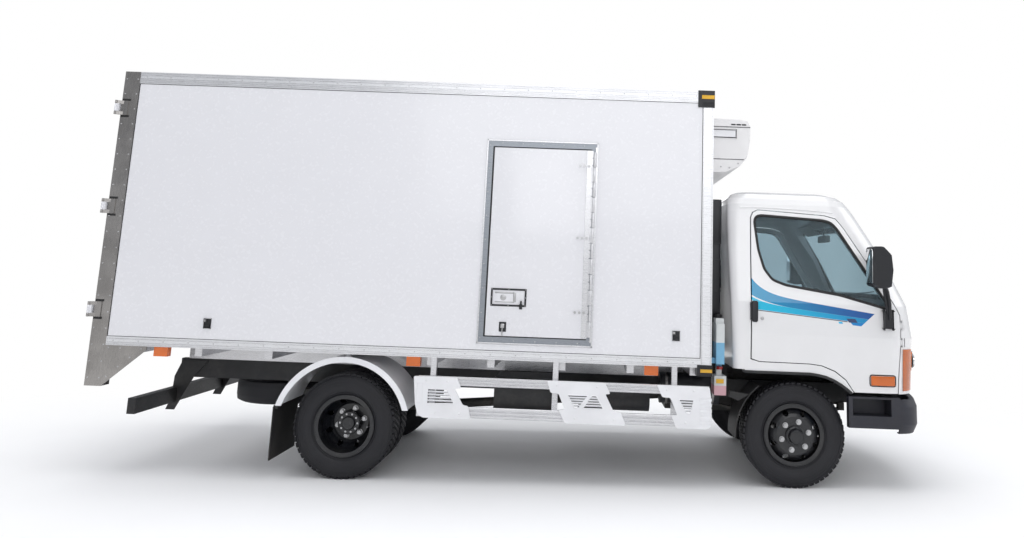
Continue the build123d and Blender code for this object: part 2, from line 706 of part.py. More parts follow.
with BuildPart() as rear_locks_left:
    for y in lock_bar_y:
        rod((bar_x, y, rear_leaf_low + 12), (bar_x, y, rear_leaf_high - 12), bar_r)
        for z in guide_z:
            block(Block(rear_face - 34, rear_face - seat, y - 32, y + 32, z, z + 34))
        block(Block(rear_face - 34, rear_face - 20, y - 12, y + 190, 1230, 1262))
rear_locks_left.part.label = "rear_locks_left"
export_step(rear_locks_left.part, "parts/rear_locks_left.step")
with BuildPart() as rear_locks_right:
    add(mirror(rear_locks_left.part, about=Plane.XZ), clean=False)
rear_locks_right.part.label = "rear_locks_right"
export_step(rear_locks_right.part, "parts/rear_locks_right.step")

# Fixed halves of the box hinges
with BuildPart() as box_hinges:
    ear_h = 26
    for z in rear_strap_z:
        for z_low in (z - running_gap - ear_h, z + strap_h + running_gap):
            for s in (-1, 1):
                column(rear_hinge[0], s * rear_hinge[1], barrel_r, z_low, z_low + ear_h)
            ear = [
                (rear_hinge[0], rear_hinge[1] - barrel_r), (rear_hinge[0] + barrel_r, rear_hinge[1]),
                (box_rear + 20, outer_y + 5), (box_rear + 20, outer_y + seat), (box_rear - 8, outer_y + seat),
            ]
            extrude(polygon(plan(z_low), ear), amount=ear_h)
            extrude(polygon(plan(z_low), [(x, -y) for x, y in ear]), amount=ear_h)
        both_sides(Block(box_rear + 4, box_rear + 56, outer_y + seat, outer_y + 5, z - 27, z + 87))
    for z in side_strap_z:
        for z_low in (z - running_gap - ear_h, z + strap_h + running_gap):
            column(side_hinge[0], side_hinge[1], barrel_r, z_low, z_low + ear_h)
            block(Block(side_hinge[0] - 5, side_hinge[0] + 5, side_hinge[1], -outer_y - 2 - seat, z_low, z_low + ear_h))
            block(Block(side_hinge[0] - 16, side_hinge[0] + 22, -outer_y - 6, -outer_y - 2 - seat, z_low, z_low + ear_h))
box_hinges.part.label = "box_hinges"
export_step(box_hinges.part, "parts/box_hinges.step")

# Cab form: plan outlines from the sill to the roof
cab_levels = [
    Level(372, 2935, 4448, 986, 240, 60), Level(800, 2922, 4478, 1000, 240, 60),
    Level(1040, 2914, 4440, 990, 240, 60), Level(1420, 2902, 4250, 942, 230, 70),
    Level(1740, 2900, 4046, 890, 220, 90), Level(1800, 2904, 4002, 876, 216, 98),
    Level(1848, 2918, 3962, 852, 210, 110), Level(1886, 2950, 3908, 806, 200, 126),
    Level(1910, 3004, 3822, 726, 180, 140), Level(1922, 3110, 3690, 590, 150, 140),
]
bow_r = 2600
skin_t = 52
glass_out = 8
glass_t = 5
proud = 7


def cab_outline(lv, inset):
    rc, rb, rr = lv.corner - inset, bow_r - inset, max(lv.rear_corner - inset / 2, 4)
    x_rear, x_front, half_w = lv.rear + inset, lv.front - inset, lv.half_width - inset
    share = (half_w - rc) / (rb - rc)
    turn = asin(share)
    corner_x, corner_y = x_front - rb * (1 - cos(turn)), rb * share
    centre = (corner_x - rc * cos(turn), half_w - rc)
    mid = (turn + pi / 2) / 2
    mid_point = (centre[0] + rc * cos(mid), centre[1] + rc * sin(mid))
    rear_mid = rr * (1 - cos(pi / 4))
    points = [(x_rear, half_w - rr), (x_rear + rear_mid, half_w - rear_mid), (x_rear + rr, half_w)]
    points += [(centre[0], half_w), mid_point, (corner_x, corner_y)]
    a, b, c, d, e, f = points
    am, bm, cm, dm, em, fm = [(x, -y) for x, y in points]
    with BuildSketch(plan(lv.z - (inset if lv.z > 1700 else 0))) as sk:
        with BuildLine():
            ThreePointArc(a, b, c)
            Line(c, d)
            ThreePointArc(d, e, f)
            ThreePointArc(f, (x_front, 0), fm)
            ThreePointArc(fm, em, dm)
            Line(dm, cm)
            ThreePointArc(cm, bm, am)
            Line(am, a)
        make_face()
    return sk.sketch


def form_of(levels, inset):
    with BuildPart() as form:
        for lv in levels:
            add(cab_outline(lv, inset))
        loft(ruled=True)
    return form.part


def cab_form(inset):
    return form_of(cab_levels, inset)


cab_solid = cab_form(0)
cab_inner = cab_form(skin_t)
cab_shell = cab_solid - cab_inner
pane_outer = cab_form(glass_out)
pane_inner = cab_form(glass_out + glass_t)

far = 6000
arch_x = 3400
arch_front = 3820
cab_sill = 392
arch_top = 524
below_cab = [
    (2800, 300), (2800, 536), (2992, 536), (3004, arch_top), (3500, arch_top), (3600, 510), (3700, 470), (3770, 424),
    (arch_front, cab_sill), (4600, cab_sill), (4600, 300),
]


def prism(points, plane, amount):
    return extrude(polygon(plane, points), amount=amount, mode=Mode.PRIVATE)


def side_prism(points):
    return prism(points, side(1500), 3000)


cab_shell = cab_shell - side_prism(below_cab)

# Door outline seen from the side, and the same outline drawn in by the gap
gap = 6
rear_door_gap = 13
door_points = [
    (3052, 610), (3120, 592), (3500, 588), (3590, 578), (3690, 540), (3770, 480), (3822, 404),
    (3850, cab_sill - 40), (4172, cab_sill - 40), (4176, 500), (4198, 758), (4204, 974),
    (4150, 1070), (3800, 1632), (3742, 1706), (3650, 1728), (3130, 1756), (3084, 1734), (3066, 1690), (3058, 1400),
]
leaf_points = [
    (3062, 616), (3121, 598), (3501, 594), (3593, 584), (3694, 546), (3775, 485), (3828, 407),
    (3838, cab_sill + 4), (4163, cab_sill + 4), (4168, 500), (4190, 758), (4196, 972),
    (4143, 1067), (3795, 1629), (3739, 1700), (3649, 1722), (3130, 1750), (3094, 1731), (3076, 1690), (3068, 1400),
]
window_points = [
    (3104, 1660), (3116, 1694), (3150, 1706), (3640, 1682), (3700, 1666), (3742, 1620), (4092, 1056), (4096, 1030),
    (4070, 1030), (3736, 1116), (3330, 1176), (3230, 1212), (3170, 1290), (3128, 1437),
]
door_hinge = (4216, 972)
door_hinge_z = [752, 880]
door_barrel_h = 40
door_ear_h = 20
door_pin_r = 7
side_cut = side_prism(door_points)
roof_line = 1758


def mirrored(shape):
    return mirror(shape, about=Plane.XZ)


def half_space(left):
    y_low, y_high = (700, 1500) if left else (-1500, -700)
    return extrude(rectangle(plan(0), 2500, 5000, y_low, y_high), amount=3000, mode=Mode.PRIVATE)


left_zone = half_space(True)
left_cut = side_cut & left_zone
cab_open = cab_shell - [left_cut, mirrored(left_cut)]

screen_half = [(0, 1075), (800, 1075), (838, 1110), (770, 1660), (735, 1695), (0, 1695)]
screen_outline = screen_half + [(-y, z) for y, z in reversed(screen_half[1:-1])]
screen_prism = prism(screen_outline, front(3800), 900)
back_window = [(-520, 1130), (520, 1130), (520, 1600), (-520, 1600)]
back_prism = prism(back_window, front(2850), 150)
grille_half_w = 505
grille_low = 572
grille_high = 694
grille_depth = 32
slat_depth = 8
slat_h = 13
slats = 4

split_x = 3300
roof_zone = side_prism([(2800, roof_line), (4700, roof_line), (4700, 2100), (2800, 2100)])
strip_x = 3845
strip_top = 640
rear_zone = side_prism([
    (2800, 300), (strip_x, 300), (strip_x, strip_top), (split_x, strip_top), (split_x, roof_line), (2800, roof_line),
])
nose_zone = side_prism([
    (strip_x, 300), (4700, 300), (4700, roof_line), (split_x, roof_line), (split_x, strip_top), (strip_x, strip_top),
])

with BuildPart() as cab_roof:
    add(cab_open & roof_zone, clean=False)
cab_roof.part.label = "cab_roof"
export_step(cab_roof.part, "parts/cab_roof.step")

with BuildPart() as cab_rear:
    add((cab_open & rear_zone) - back_prism, clean=False)
cab_rear.part.label = "cab_rear"
export_step(cab_rear.part, "parts/cab_rear.step")

grille_core = cab_form(grille_depth)
slat_form = cab_form(slat_depth)


def grille_prism(z_low, z_high):
    corners = [(-grille_half_w, z_low), (grille_half_w, z_low), (grille_half_w, z_high), (-grille_half_w, z_high)]
    return prism(corners, front(4300), 300)


with BuildPart() as cab_front:
    add((cab_open & nose_zone) - screen_prism, clean=False)
    add((cab_solid & grille_prism(grille_low, grille_high)) - grille_core, mode=Mode.SUBTRACT)
    slat_pitch = (grille_high - grille_low) / (slats + 1)
    for i in range(slats):
        z = grille_low + (i + 1) * slat_pitch - slat_h / 2
        add((slat_form & grille_prism(z, z + slat_h)) - grille_core, clean=False)
    for s in (-1, 1):
        y_mid = s * (rail_y - rail_flange / 2 - hinge_ear_t - running_gap)
        lug = [
            (cab_hinge[0] - hinge_lug_r, cab_hinge[1]), (cab_hinge[0] + hinge_lug_r, cab_hinge[1]),
            (cab_hinge[0] + hinge_lug_r, cab_sill + 28), (cab_hinge[0] - hinge_lug_r, cab_sill + 28),
        ]
        across(lug, y_mid - hinge_ear_t / 2, y_mid + hinge_ear_t / 2)
        drum(cab_hinge, hinge_lug_r, y_mid - hinge_ear_t / 2, y_mid + hinge_ear_t / 2)
    for z in door_hinge_z:
        both_sides(Block(4190, 4232, 930, 990, z - 14, z + door_barrel_h + 14), Mode.SUBTRACT)
        for s in (-1, 1):
            above = z + door_barrel_h
            for z_low, z_high in ((z - door_ear_h, z - running_gap), (above + running_gap, above + door_ear_h)):
                column(door_hinge[0], s * door_hinge[1], door_pin_r, z_low, z_high)
cab_front.part.label = "cab_front"
export_step(cab_front.part, "parts/cab_front.step")

with BuildPart() as cab_glass:
    for opening in (screen_prism, back_prism):
        add((pane_outer & opening) - pane_inner, clean=False)
cab_glass.part.label = "cab_glass"
export_step(cab_glass.part, "parts/cab_glass.step")

# Cab floor with engine tunnel
floor_half_w = 925
floor_line = [
    (2900, 560), (3560, 560), (3850, 430), (4600, 430), (4600, 460), (3866, 460), (3576, 590), (2900, 590),
]
tunnel_half_w = 330
tunnel_top = 740
tunnel_wall = 20
tunnel_line = [(2900, 550), (2900, tunnel_top), (4000, tunnel_top), (4040, 700), (4040, 430), (3850, 430), (3560, 550)]
tunnel_core = [(2880, 300), (2880, tunnel_top - 25), (3985, tunnel_top - 25), (4012, 690), (4012, 300)]
cab_room = cab_form(skin_t + seat)
with BuildPart() as cab_floor:
    across(floor_line, -floor_half_w, floor_half_w)
    across(tunnel_line, -tunnel_half_w, tunnel_half_w)
    add(cab_room, mode=Mode.INTERSECT)
    across(tunnel_core, -tunnel_half_w + tunnel_wall, tunnel_half_w - tunnel_wall, Mode.SUBTRACT)
cab_floor.part.label = "cab_floor"
export_step(cab_floor.part, "parts/cab_floor.step")

# Dashboard and steering column
wheel_centre = (3830, 470, 1010)
column_lean = 38
dash_half_w = 875
boss_back = 25
with BuildPart() as dashboard:
    dash = [(4050, 700), (4600, 700), (4600, 1006), (4330, 1010), (4060, 985), (4000, 930), (4010, 800)]
    across(dash, -dash_half_w, dash_half_w)
    add(cab_room, mode=Mode.INTERSECT)
    shaft_end, shaft_root = [
        (wheel_centre[0] + t * sin(radians(column_lean)), wheel_centre[1], wheel_centre[2] - t * cos(radians(column_lean)))
        for t in (boss_back + running_gap, 360)
    ]
    rod(shaft_root, shaft_end, 32)
dashboard.part.label = "dashboard"
export_step(dashboard.part, "parts/dashboard.step")

# Seats: driver's and double passenger seat
Seat = namedtuple("Seat", "y_low y_high")
seat_set = [Seat(230, 700), Seat(-230, 180), Seat(-700, -250)]
with BuildPart() as seats:
    for st in seat_set:
        cushion = [(3080, 762), (3540, 780), (3560, 830), (3520, 880), (3170, 860), (3080, 850)]
        across(cushion, st.y_low, st.y_high)
        back = [(3070, 850), (3180, 850), (3130, 1400), (3050, 1400), (3020, 1380)]
        across(back, st.y_low + 10, st.y_high - 10)
        head = [(3046, 1420), (3118, 1420), (3106, 1570), (3042, 1570)]
        across(head, (st.y_low + st.y_high) / 2 - 120, (st.y_low + st.y_high) / 2 + 120)
        for dy in (-50, 50):
            y = (st.y_low + st.y_high) / 2 + dy
            rod((3080, y, 1390), (3080, y, 1430), 7)
    for low, high in ((345, 680), (-680, -345)):
        block(Block(3100, 3500, low, high, 590 + seat, 772))
    block(Block(3100, 3500, -200, 160, tunnel_top + seat, 772))
seats.part.label = "seats"
export_step(seats.part, "parts/seats.step")

# Steering wheel
lean = radians(column_lean)
hub_point = base.from_local_coords(wheel_centre)
wheel_up = base.z_dir * cos(lean) - base.x_dir * sin(lean)
wheel_plane = Plane(origin=hub_point, x_dir=base.y_dir, z_dir=wheel_up)
with BuildPart() as steering_wheel:
    with BuildSketch(Plane(origin=hub_point, x_dir=base.y_dir, z_dir=wheel_up.cross(base.y_dir))) as grip:
        with Locations((205, 0)):
            RegularPolygon(15, 8)
    revolve(grip.sketch, axis=Axis(hub_point, wheel_up))
    with BuildSketch(wheel_plane.offset(-boss_back)) as boss:
        Circle(45)
    extrude(boss.sketch, amount=40)
    with BuildSketch(wheel_plane.offset(-12)) as spokes:
        Rectangle(400, 36)
        with Locations((0, 100)):
            Rectangle(36, 200)
    extrude(spokes.sketch, amount=14)
steering_wheel.part.label = "steering_wheel"
export_step(steering_wheel.part, "parts/steering_wheel.step")

# Cab doors with hinge barrels, glass and mirrors
leaf_prism = side_prism(leaf_points)
window_prism = side_prism(window_points)
cab_proud = cab_form(-proud)
cab_outside = cab_form(-seat)
handle_spot = [(3068, 895), (3102, 895), (3102, 1040), (3068, 1040)]
marker_spot = [(3965, 462), (4134, 456), (4134, 510), (3965, 518)]
with BuildPart() as cab_door_left:
    add(cab_shell & ((leaf_prism - window_prism) & left_zone), clean=False)
    for spot in (handle_spot, marker_spot):
        add((cab_proud & (side_prism(spot) & left_zone)) - cab_inner, clean=False)
    for z in door_hinge_z:
        arm = [(door_hinge[0], door_hinge[1] + 5), (door_hinge[0], door_hinge[1] - 5), (4172, 944), (4172, 956)]
        extrude(polygon(plan(z), arm), amount=door_barrel_h)
        column(door_hinge[0], door_hinge[1], door_pin_r, z, z + door_barrel_h)
cab_door_left.part.label = "cab_door_left"
export_step(cab_door_left.part, "parts/cab_door_left.step")
with BuildPart() as cab_door_right:
    add(mirror(cab_door_left.part, about=Plane.XZ), clean=False)
cab_door_right.part.label = "cab_door_right"
export_step(cab_door_right.part, "parts/cab_door_right.step")

with BuildPart() as door_glass_left:
    add((pane_outer & (window_prism & left_zone)) - pane_inner, clean=False)
door_glass_left.part.label = "door_glass_left"
export_step(door_glass_left.part, "parts/door_glass_left.step")
with BuildPart() as door_glass_right:
    add(mirror(door_glass_left.part, about=Plane.XZ), clean=False)
door_glass_right.part.label = "door_glass_right"
export_step(door_glass_right.part, "parts/door_glass_right.step")

with BuildPart() as mirror_left:
    mirror_head = [(3925, 1478), (3990, 1480), (4046, 1420), (4056, 1310), (4040, 1190), (3990, 1178), (3950, 1230), (3915, 1400)]
    across(mirror_head, 1080, 1230)
    block(Block(4062, 4122, 950, 1032, 880, 1000))
    rod((4092, 1018, 960), (4020, 1110, 1240), 12)
    add(cab_outside, mode=Mode.SUBTRACT)
mirror_left.part.label = "mirror_left"
export_step(mirror_left.part, "parts/mirror_left.step")
with BuildPart() as mirror_right:
    add(mirror(mirror_left.part, about=Plane.XZ), clean=False)
mirror_right.part.label = "mirror_right"
export_step(mirror_right.part, "parts/mirror_right.step")

# Bumper skin with return lips, brackets and steps
bumper_levels = [
    Level(104, 3900, 4470, 960, 190, 40), Level(170, 3900, 4498, 985, 190, 40),
    Level(300, 3900, 4498, 985, 190, 40), Level(350, 3900, 4478, 975, 190, 40),
]
bumper_t = 8
bumper_rear = 4170
lip_w = 34
step_outline = [(3840, 800), (3792, 930), (3792, 985), (4180, 985), (4180, 800)]
step_pocket = [(3870, 838), (3822, 930), (3822, 995), (4110, 995), (4110, 850), (3870, 850)]
step_low = 139
step_top = 365


low, low_mid, high_mid, high = bumper_levels
inside = [low._replace(z=low.z + bumper_t), low_mid, high_mid, high._replace(z=high.z - bumper_t)]
through = [low._replace(z=low.z - 20), high._replace(z=high.z + 20)]
with BuildPart() as front_bumper:
    add(form_of(bumper_levels, 0))
    add(form_of(inside, bumper_t), mode=Mode.SUBTRACT)
    add(form_of(through, lip_w), mode=Mode.SUBTRACT)
    block(Block(3800, bumper_rear, -1100, 1100, 80, 400), Mode.SUBTRACT)
    both_sides(Block(4230, 4466, rail_y + seat, rail_y + 40, 210, 320))
    for s in (-1, 1):
        outline = [(x, s * y) for x, y in step_outline]
        extrude(polygon(plan(step_low), outline), amount=step_top - step_low)
        pocket = [(x, s * y) for x, y in step_pocket]
        extrude(polygon(plan(step_low + 89), pocket), amount=122, mode=Mode.SUBTRACT)
    both_sides(Block(3880, 4140, 795, 826, step_low + 12, 350), Mode.SUBTRACT)
    # intake slots
    for z in (186, 236):
        block(Block(4380, 4520, -420, 420, z, z + 34), Mode.SUBTRACT)
front_bumper.part.label = "front_bumper"
export_step(front_bumper.part, "parts/front_bumper.step")

# Cab lamps: headlamps, wrapped corner lamps and the roof marker
head_lamp = [(560, 560), (880, 560), (880, 700), (540, 700)]
corner_spot = [(4210, 415), (4300, 415), (4300, 722), (4212, 722)]
with BuildPart() as cab_lamps:
    for s in (-1, 1):
        face = [(s * y, z) for y, z in head_lamp]
        add(cab_proud & prism(face, front(4300), 300))
        y_low, y_high = sorted((s * 700, s * 1100))
        add(cab_proud & prism(corner_spot, side(y_high), y_high - y_low))
    block(Block(3790, 3870, -60, 60, 1880, 1952))
    add(cab_outside, mode=Mode.SUBTRACT)
cab_lamps.part.label = "cab_lamps"
export_step(cab_lamps.part, "parts/cab_lamps.step")
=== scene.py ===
import math

import bmesh
import bpy
from mathutils import Matrix, Vector
from mathutils.bvhtree import BVHTree
from mathutils.geometry import tessellate_polygon


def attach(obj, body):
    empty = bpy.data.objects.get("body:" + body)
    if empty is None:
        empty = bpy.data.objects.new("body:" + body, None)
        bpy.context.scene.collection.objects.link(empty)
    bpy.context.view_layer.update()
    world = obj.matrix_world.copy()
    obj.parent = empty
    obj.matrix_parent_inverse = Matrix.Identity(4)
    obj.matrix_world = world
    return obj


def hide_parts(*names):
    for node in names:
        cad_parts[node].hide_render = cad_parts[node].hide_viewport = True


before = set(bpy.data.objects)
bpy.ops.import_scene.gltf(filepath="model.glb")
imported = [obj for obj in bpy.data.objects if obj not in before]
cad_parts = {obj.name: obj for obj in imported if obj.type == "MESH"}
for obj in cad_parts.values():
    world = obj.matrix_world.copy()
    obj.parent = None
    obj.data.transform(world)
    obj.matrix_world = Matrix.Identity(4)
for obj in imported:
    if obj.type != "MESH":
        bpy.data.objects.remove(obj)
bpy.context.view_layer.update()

# Lengths below are mm in the truck's own frame: x forward from the rear axle, y to the left, z up,
# and leaning nose down by the rake. PARKED turns them into the row's metres.
RAKE = math.radians(0.976)
AXLE = Vector((-1.26933, 0, 0.383))
TURN = Matrix.Rotation(RAKE, 4, "Y")
PARKED = Matrix.Translation(AXLE) @ TURN @ Matrix.Scale(0.001, 4)
MM = 0.001


def metres(point):
    return PARKED @ Vector(point)


def heading(direction):
    return (TURN.to_3x3() @ Vector(direction)).normalized()


# Shader helpers
def add_node(tree, kind, inputs=None, **settings):
    made = tree.nodes.new(kind)
    for key, value in settings.items():
        setattr(made, key, value)
    for key, value in (inputs or {}).items():
        if isinstance(value, bpy.types.NodeSocket):
            tree.links.new(value, made.inputs[key])
        else:
            made.inputs[key].default_value = value
    return made


def calc(tree, how, a, b=0.0, c=0.0, clamp=False):
    made = add_node(tree, "ShaderNodeMath", {0: a, 1: b, 2: c}, operation=how, use_clamp=clamp)
    return made.outputs[0]


def ramp(tree, value, low, high, to_low=0.0, to_high=1.0):
    made = add_node(tree, "ShaderNodeMapRange", {0: value, 1: low, 2: high, 3: to_low, 4: to_high},
                    interpolation_type="SMOOTHSTEP")
    return made.outputs[0]


def blend_colour(tree, factor, a, b):
    made = add_node(tree, "ShaderNodeMix", data_type="RGBA", clamp_factor=True)
    for key, value in ((0, factor), (6, a), (7, b)):
        if isinstance(value, bpy.types.NodeSocket):
            tree.links.new(value, made.inputs[key])
        else:
            made.inputs[key].default_value = value
    return made.outputs[2]


def shader_group(name, inputs, outputs):
    tree = bpy.data.node_groups.new(name, "ShaderNodeTree")
    for label, kind, value in inputs:
        made = tree.interface.new_socket(label, in_out="INPUT", socket_type=kind)
        made.default_value = value
    for label, kind in outputs:
        tree.interface.new_socket(label, in_out="OUTPUT", socket_type=kind)
    return tree, tree.nodes.new("NodeGroupInput").outputs, tree.nodes.new("NodeGroupOutput").inputs


FLOAT, COLOUR, VECTOR = "NodeSocketFloat", "NodeSocketColor", "NodeSocketVector"


def make_truck_axes():
    tree, _, out = shader_group("truck_axes", [], [("Place", VECTOR), ("Forward", FLOAT), ("Left", FLOAT), ("Up", FLOAT)])
    spot = add_node(tree, "ShaderNodeTexCoord")
    back = -(TURN.inverted().to_3x3() @ AXLE)
    turned = add_node(tree, "ShaderNodeMapping", {0: spot.outputs["Object"], 1: back, 2: (0, -RAKE, 0)})
    parts = add_node(tree, "ShaderNodeSeparateXYZ", {0: turned.outputs[0]})
    tree.links.new(turned.outputs[0], out["Place"])
    for label, part in zip(("Forward", "Left", "Up"), parts.outputs):
        tree.links.new(part, out[label])
    return tree


def make_road_film():
    """Dust that thickens towards the road, broken up by noise."""
    tree, given, out = shader_group(
        "road_film",
        [("Colour", COLOUR, (0.8, 0.8, 0.8, 1)), ("Dust", COLOUR, (0.30, 0.27, 0.23, 1)),
         ("Strength", FLOAT, 0.3), ("Foot", FLOAT, -0.3), ("Top", FLOAT, 1.0)],
        [("Colour", COLOUR), ("Mask", FLOAT)])
    axes = add_node(tree, "ShaderNodeGroup", node_tree=AXES)
    low = add_node(tree, "ShaderNodeMapRange", {0: axes.outputs["Up"], 1: given["Foot"], 2: given["Top"], 3: 1.0, 4: 0.0})
    broad = add_node(tree, "ShaderNodeTexNoise", {"Vector": axes.outputs["Place"], "Scale": 3.1, "Detail": 8.0, "Roughness": 0.62})
    fine = add_node(tree, "ShaderNodeTexNoise", {"Vector": axes.outputs["Place"], "Scale": 41.0, "Detail": 4.0})
    both = calc(tree, "MULTIPLY", ramp(tree, broad.outputs[0], 0.36, 0.68), ramp(tree, fine.outputs[0], 0.30, 0.70, 0.55, 1.0))
    mask = calc(tree, "MULTIPLY", calc(tree, "MULTIPLY", both, low.outputs[0]), given["Strength"], clamp=True)
    tree.links.new(blend_colour(tree, mask, given["Colour"], given["Dust"]), out["Colour"])
    tree.links.new(mask, out["Mask"])
    return tree


def make_surface_grain():
    """Fine relief of moulded, rolled or painted skins."""
    tree, given, out = shader_group(
        "surface_grain",
        [("Scale", FLOAT, 600.0), ("Stretch", VECTOR, (1, 1, 1)), ("Depth", FLOAT, 0.1), ("Reach", FLOAT, 0.001)],
        [("Normal", VECTOR), ("Value", FLOAT)])
    axes = add_node(tree, "ShaderNodeGroup", node_tree=AXES)
    spread = add_node(tree, "ShaderNodeVectorMath", {0: axes.outputs["Place"], 1: given["Stretch"]}, operation="MULTIPLY")
    noise = add_node(tree, "ShaderNodeTexNoise", {"Vector": spread.outputs[0], "Scale": given["Scale"], "Detail": 5.0})
    bump = add_node(tree, "ShaderNodeBump", {"Strength": given["Depth"], "Distance": given["Reach"], "Height": noise.outputs[0]})
    tree.links.new(bump.outputs[0], out["Normal"])
    tree.links.new(noise.outputs[0], out["Value"])
    return tree


AXES = make_truck_axes()
FILM = make_road_film()
GRAIN = make_surface_grain()


def finish_of(name, colour, rough, metal=0.0, coat=0.0, film=0.25, top=1.0, grain=(500.0, (1, 1, 1), 0.12),
              mottle=0.06, rough_swing=0.08, dust=(0.30, 0.27, 0.23, 1), paint=None):
    """A Principled finish: its colour mottled and dusted, its roughness uneven, its skin grained."""
    mat = bpy.data.materials.new(name)
    mat.use_nodes = True
    tree = mat.node_tree
    skin = tree.nodes["Principled BSDF"]
    axes = add_node(tree, "ShaderNodeGroup", node_tree=AXES)
    cloud = add_node(tree, "ShaderNodeTexNoise", {"Vector": axes.outputs["Place"], "Scale": 5.0, "Detail": 6.0})
    deep = tuple(c * (1 - 2 * mottle) for c in colour[:3]) + (1,)
    base = blend_colour(tree, ramp(tree, cloud.outputs[0], 0.3, 0.7), deep, tuple(colour[:3]) + (1,))
    if paint:
        base = paint(tree, axes, base)
    dusty = add_node(tree, "ShaderNodeGroup", {"Colour": base, "Dust": dust, "Strength": film, "Top": top}, node_tree=FILM)
    relief = add_node(tree, "ShaderNodeGroup", {"Scale": grain[0], "Stretch": grain[1], "Depth": grain[2]}, node_tree=GRAIN)
    uneven = ramp(tree, relief.outputs["Value"], 0.3, 0.7, rough - rough_swing, rough + rough_swing)
    rougher = calc(tree, "ADD", uneven, calc(tree, "MULTIPLY", dusty.outputs["Mask"], 0.45), clamp=True)
    tree.links.new(dusty.outputs["Colour"], skin.inputs["Base Color"])
    tree.links.new(rougher, skin.inputs["Roughness"])
    tree.links.new(relief.outputs["Normal"], skin.inputs["Normal"])
    skin.inputs["Metallic"].default_value = metal
    skin.inputs["Coat Weight"].default_value = coat
    skin.inputs["Coat Roughness"].default_value = 0.06
    return mat


def band(tree, value, low, high, soft=0.0012):
    """1 between low and high, with an edge as soft as given."""
    rise = ramp(tree, value, low - soft, low + soft)
    fall = ramp(tree, value, high - soft, high + soft, 1.0, 0.0)
    return calc(tree, "MULTIPLY", rise, fall)


def door_stripe(tree, axes, base):
    """Swoosh along the cab door: deep blue over a thin white line, cyan under it, a dark line below."""
    x, z = axes.outputs["Forward"], axes.outputs["Up"]
    run = calc(tree, "SUBTRACT", x, 3.045)
    hook = calc(tree, "MULTIPLY", calc(tree, "EXPONENT", calc(tree, "MULTIPLY", run, -11.0)), 0.138)
    upper = calc(tree, "ADD", calc(tree, "MULTIPLY_ADD", run, -0.137, 1.110), hook)
    hook_low = calc(tree, "MULTIPLY", calc(tree, "EXPONENT", calc(tree, "MULTIPLY", run, -9.0)), 0.062)
    middle = calc(tree, "ADD", calc(tree, "MULTIPLY_ADD", run, -0.105, 1.033), hook_low)
    lower = calc(tree, "MULTIPLY_ADD", run, -0.091, 0.987)
    nose = calc(tree, "MULTIPLY_ADD", z, 1.10, 2.920)
    inside = calc(tree, "LESS_THAN", x, nose)
    past_start = calc(tree, "GREATER_THAN", x, 3.046)
    low_start = calc(tree, "GREATER_THAN", x, calc(tree, "MULTIPLY_ADD", z, -0.62, 3.717))

    def between(bottom, top):
        over = ramp(tree, calc(tree, "SUBTRACT", z, bottom), -0.0008, 0.0008)
        under = ramp(tree, calc(tree, "SUBTRACT", z, top), -0.0008, 0.0008, 1.0, 0.0)
        return calc(tree, "MULTIPLY", calc(tree, "MULTIPLY", over, under), calc(tree, "MULTIPLY", inside, past_start))

    gap = ramp(tree, run, 0.0, 0.32, 0.006, 0.0)
    upper_mask = between(calc(tree, "ADD", middle, gap), upper)
    lower_mask = calc(tree, "MULTIPLY", between(lower, calc(tree, "SUBTRACT", middle, gap)), low_start)
    dark_mask = calc(tree, "MULTIPLY", between(calc(tree, "ADD", lower, -0.008), calc(tree, "ADD", lower, -0.002)),
                     calc(tree, "MULTIPLY", calc(tree, "LESS_THAN", x, 3.79), calc(tree, "GREATER_THAN", x, 3.112)))
    far_mask = calc(tree, "MULTIPLY", between(calc(tree, "ADD", lower, -0.026), lower),
                    calc(tree, "MULTIPLY", calc(tree, "GREATER_THAN", x, calc(tree, "MULTIPLY_ADD", z, -0.9, 4.63)), inside))
    slate_mask = calc(tree, "MULTIPLY", band(tree, z, 0.909, 0.938),
                      calc(tree, "MULTIPLY", calc(tree, "GREATER_THAN", x, calc(tree, "MULTIPLY_ADD", z, -0.6, 4.345)),
                           calc(tree, "LESS_THAN", x, calc(tree, "MULTIPLY_ADD", z, -0.6, 4.412))))
    chip_mask = calc(tree, "MULTIPLY", band(tree, z, 0.898, 0.912), band(tree, calc(tree, "MULTIPLY_ADD", z, 0.5, x), 4.175, 4.205))
    along = ramp(tree, run, 0.0, 0.95)
    deep = blend_colour(tree, along, (0.0, 0.245, 0.450, 1), (0.0, 0.072, 0.300, 1))
    light = blend_colour(tree, along, (0.003, 0.46, 0.68, 1), (0.0, 0.24, 0.50, 1))
    colour = blend_colour(tree, upper_mask, base, deep)
    colour = blend_colour(tree, lower_mask, colour, light)
    colour = blend_colour(tree, dark_mask, colour, (0.035, 0.045, 0.06, 1))
    colour = blend_colour(tree, far_mask, colour, (0.0, 0.20, 0.52, 1))
    colour = blend_colour(tree, slate_mask, colour, (0.028, 0.05, 0.13, 1))
    return blend_colour(tree, chip_mask, colour, (0.01, 0.42, 0.72, 1))


def rail_shades(tree, axes, base):
    """The darker anodised frame of the side door."""
    x, y, z = axes.outputs["Forward"], axes.outputs["Left"], axes.outputs["Up"]
    right = calc(tree, "LESS_THAN", y, 0.0)
    near = calc(tree, "MULTIPLY", calc(tree, "GREATER_THAN", x, 0.975), calc(tree, "LESS_THAN", x, 1.855))
    tall = calc(tree, "MULTIPLY", calc(tree, "GREATER_THAN", z, 0.650), calc(tree, "LESS_THAN", z, 2.22))
    frame_mask = calc(tree, "MULTIPLY", right, calc(tree, "MULTIPLY", near, tall))
    return blend_colour(tree, frame_mask, base, (0.27, 0.29, 0.32, 1))


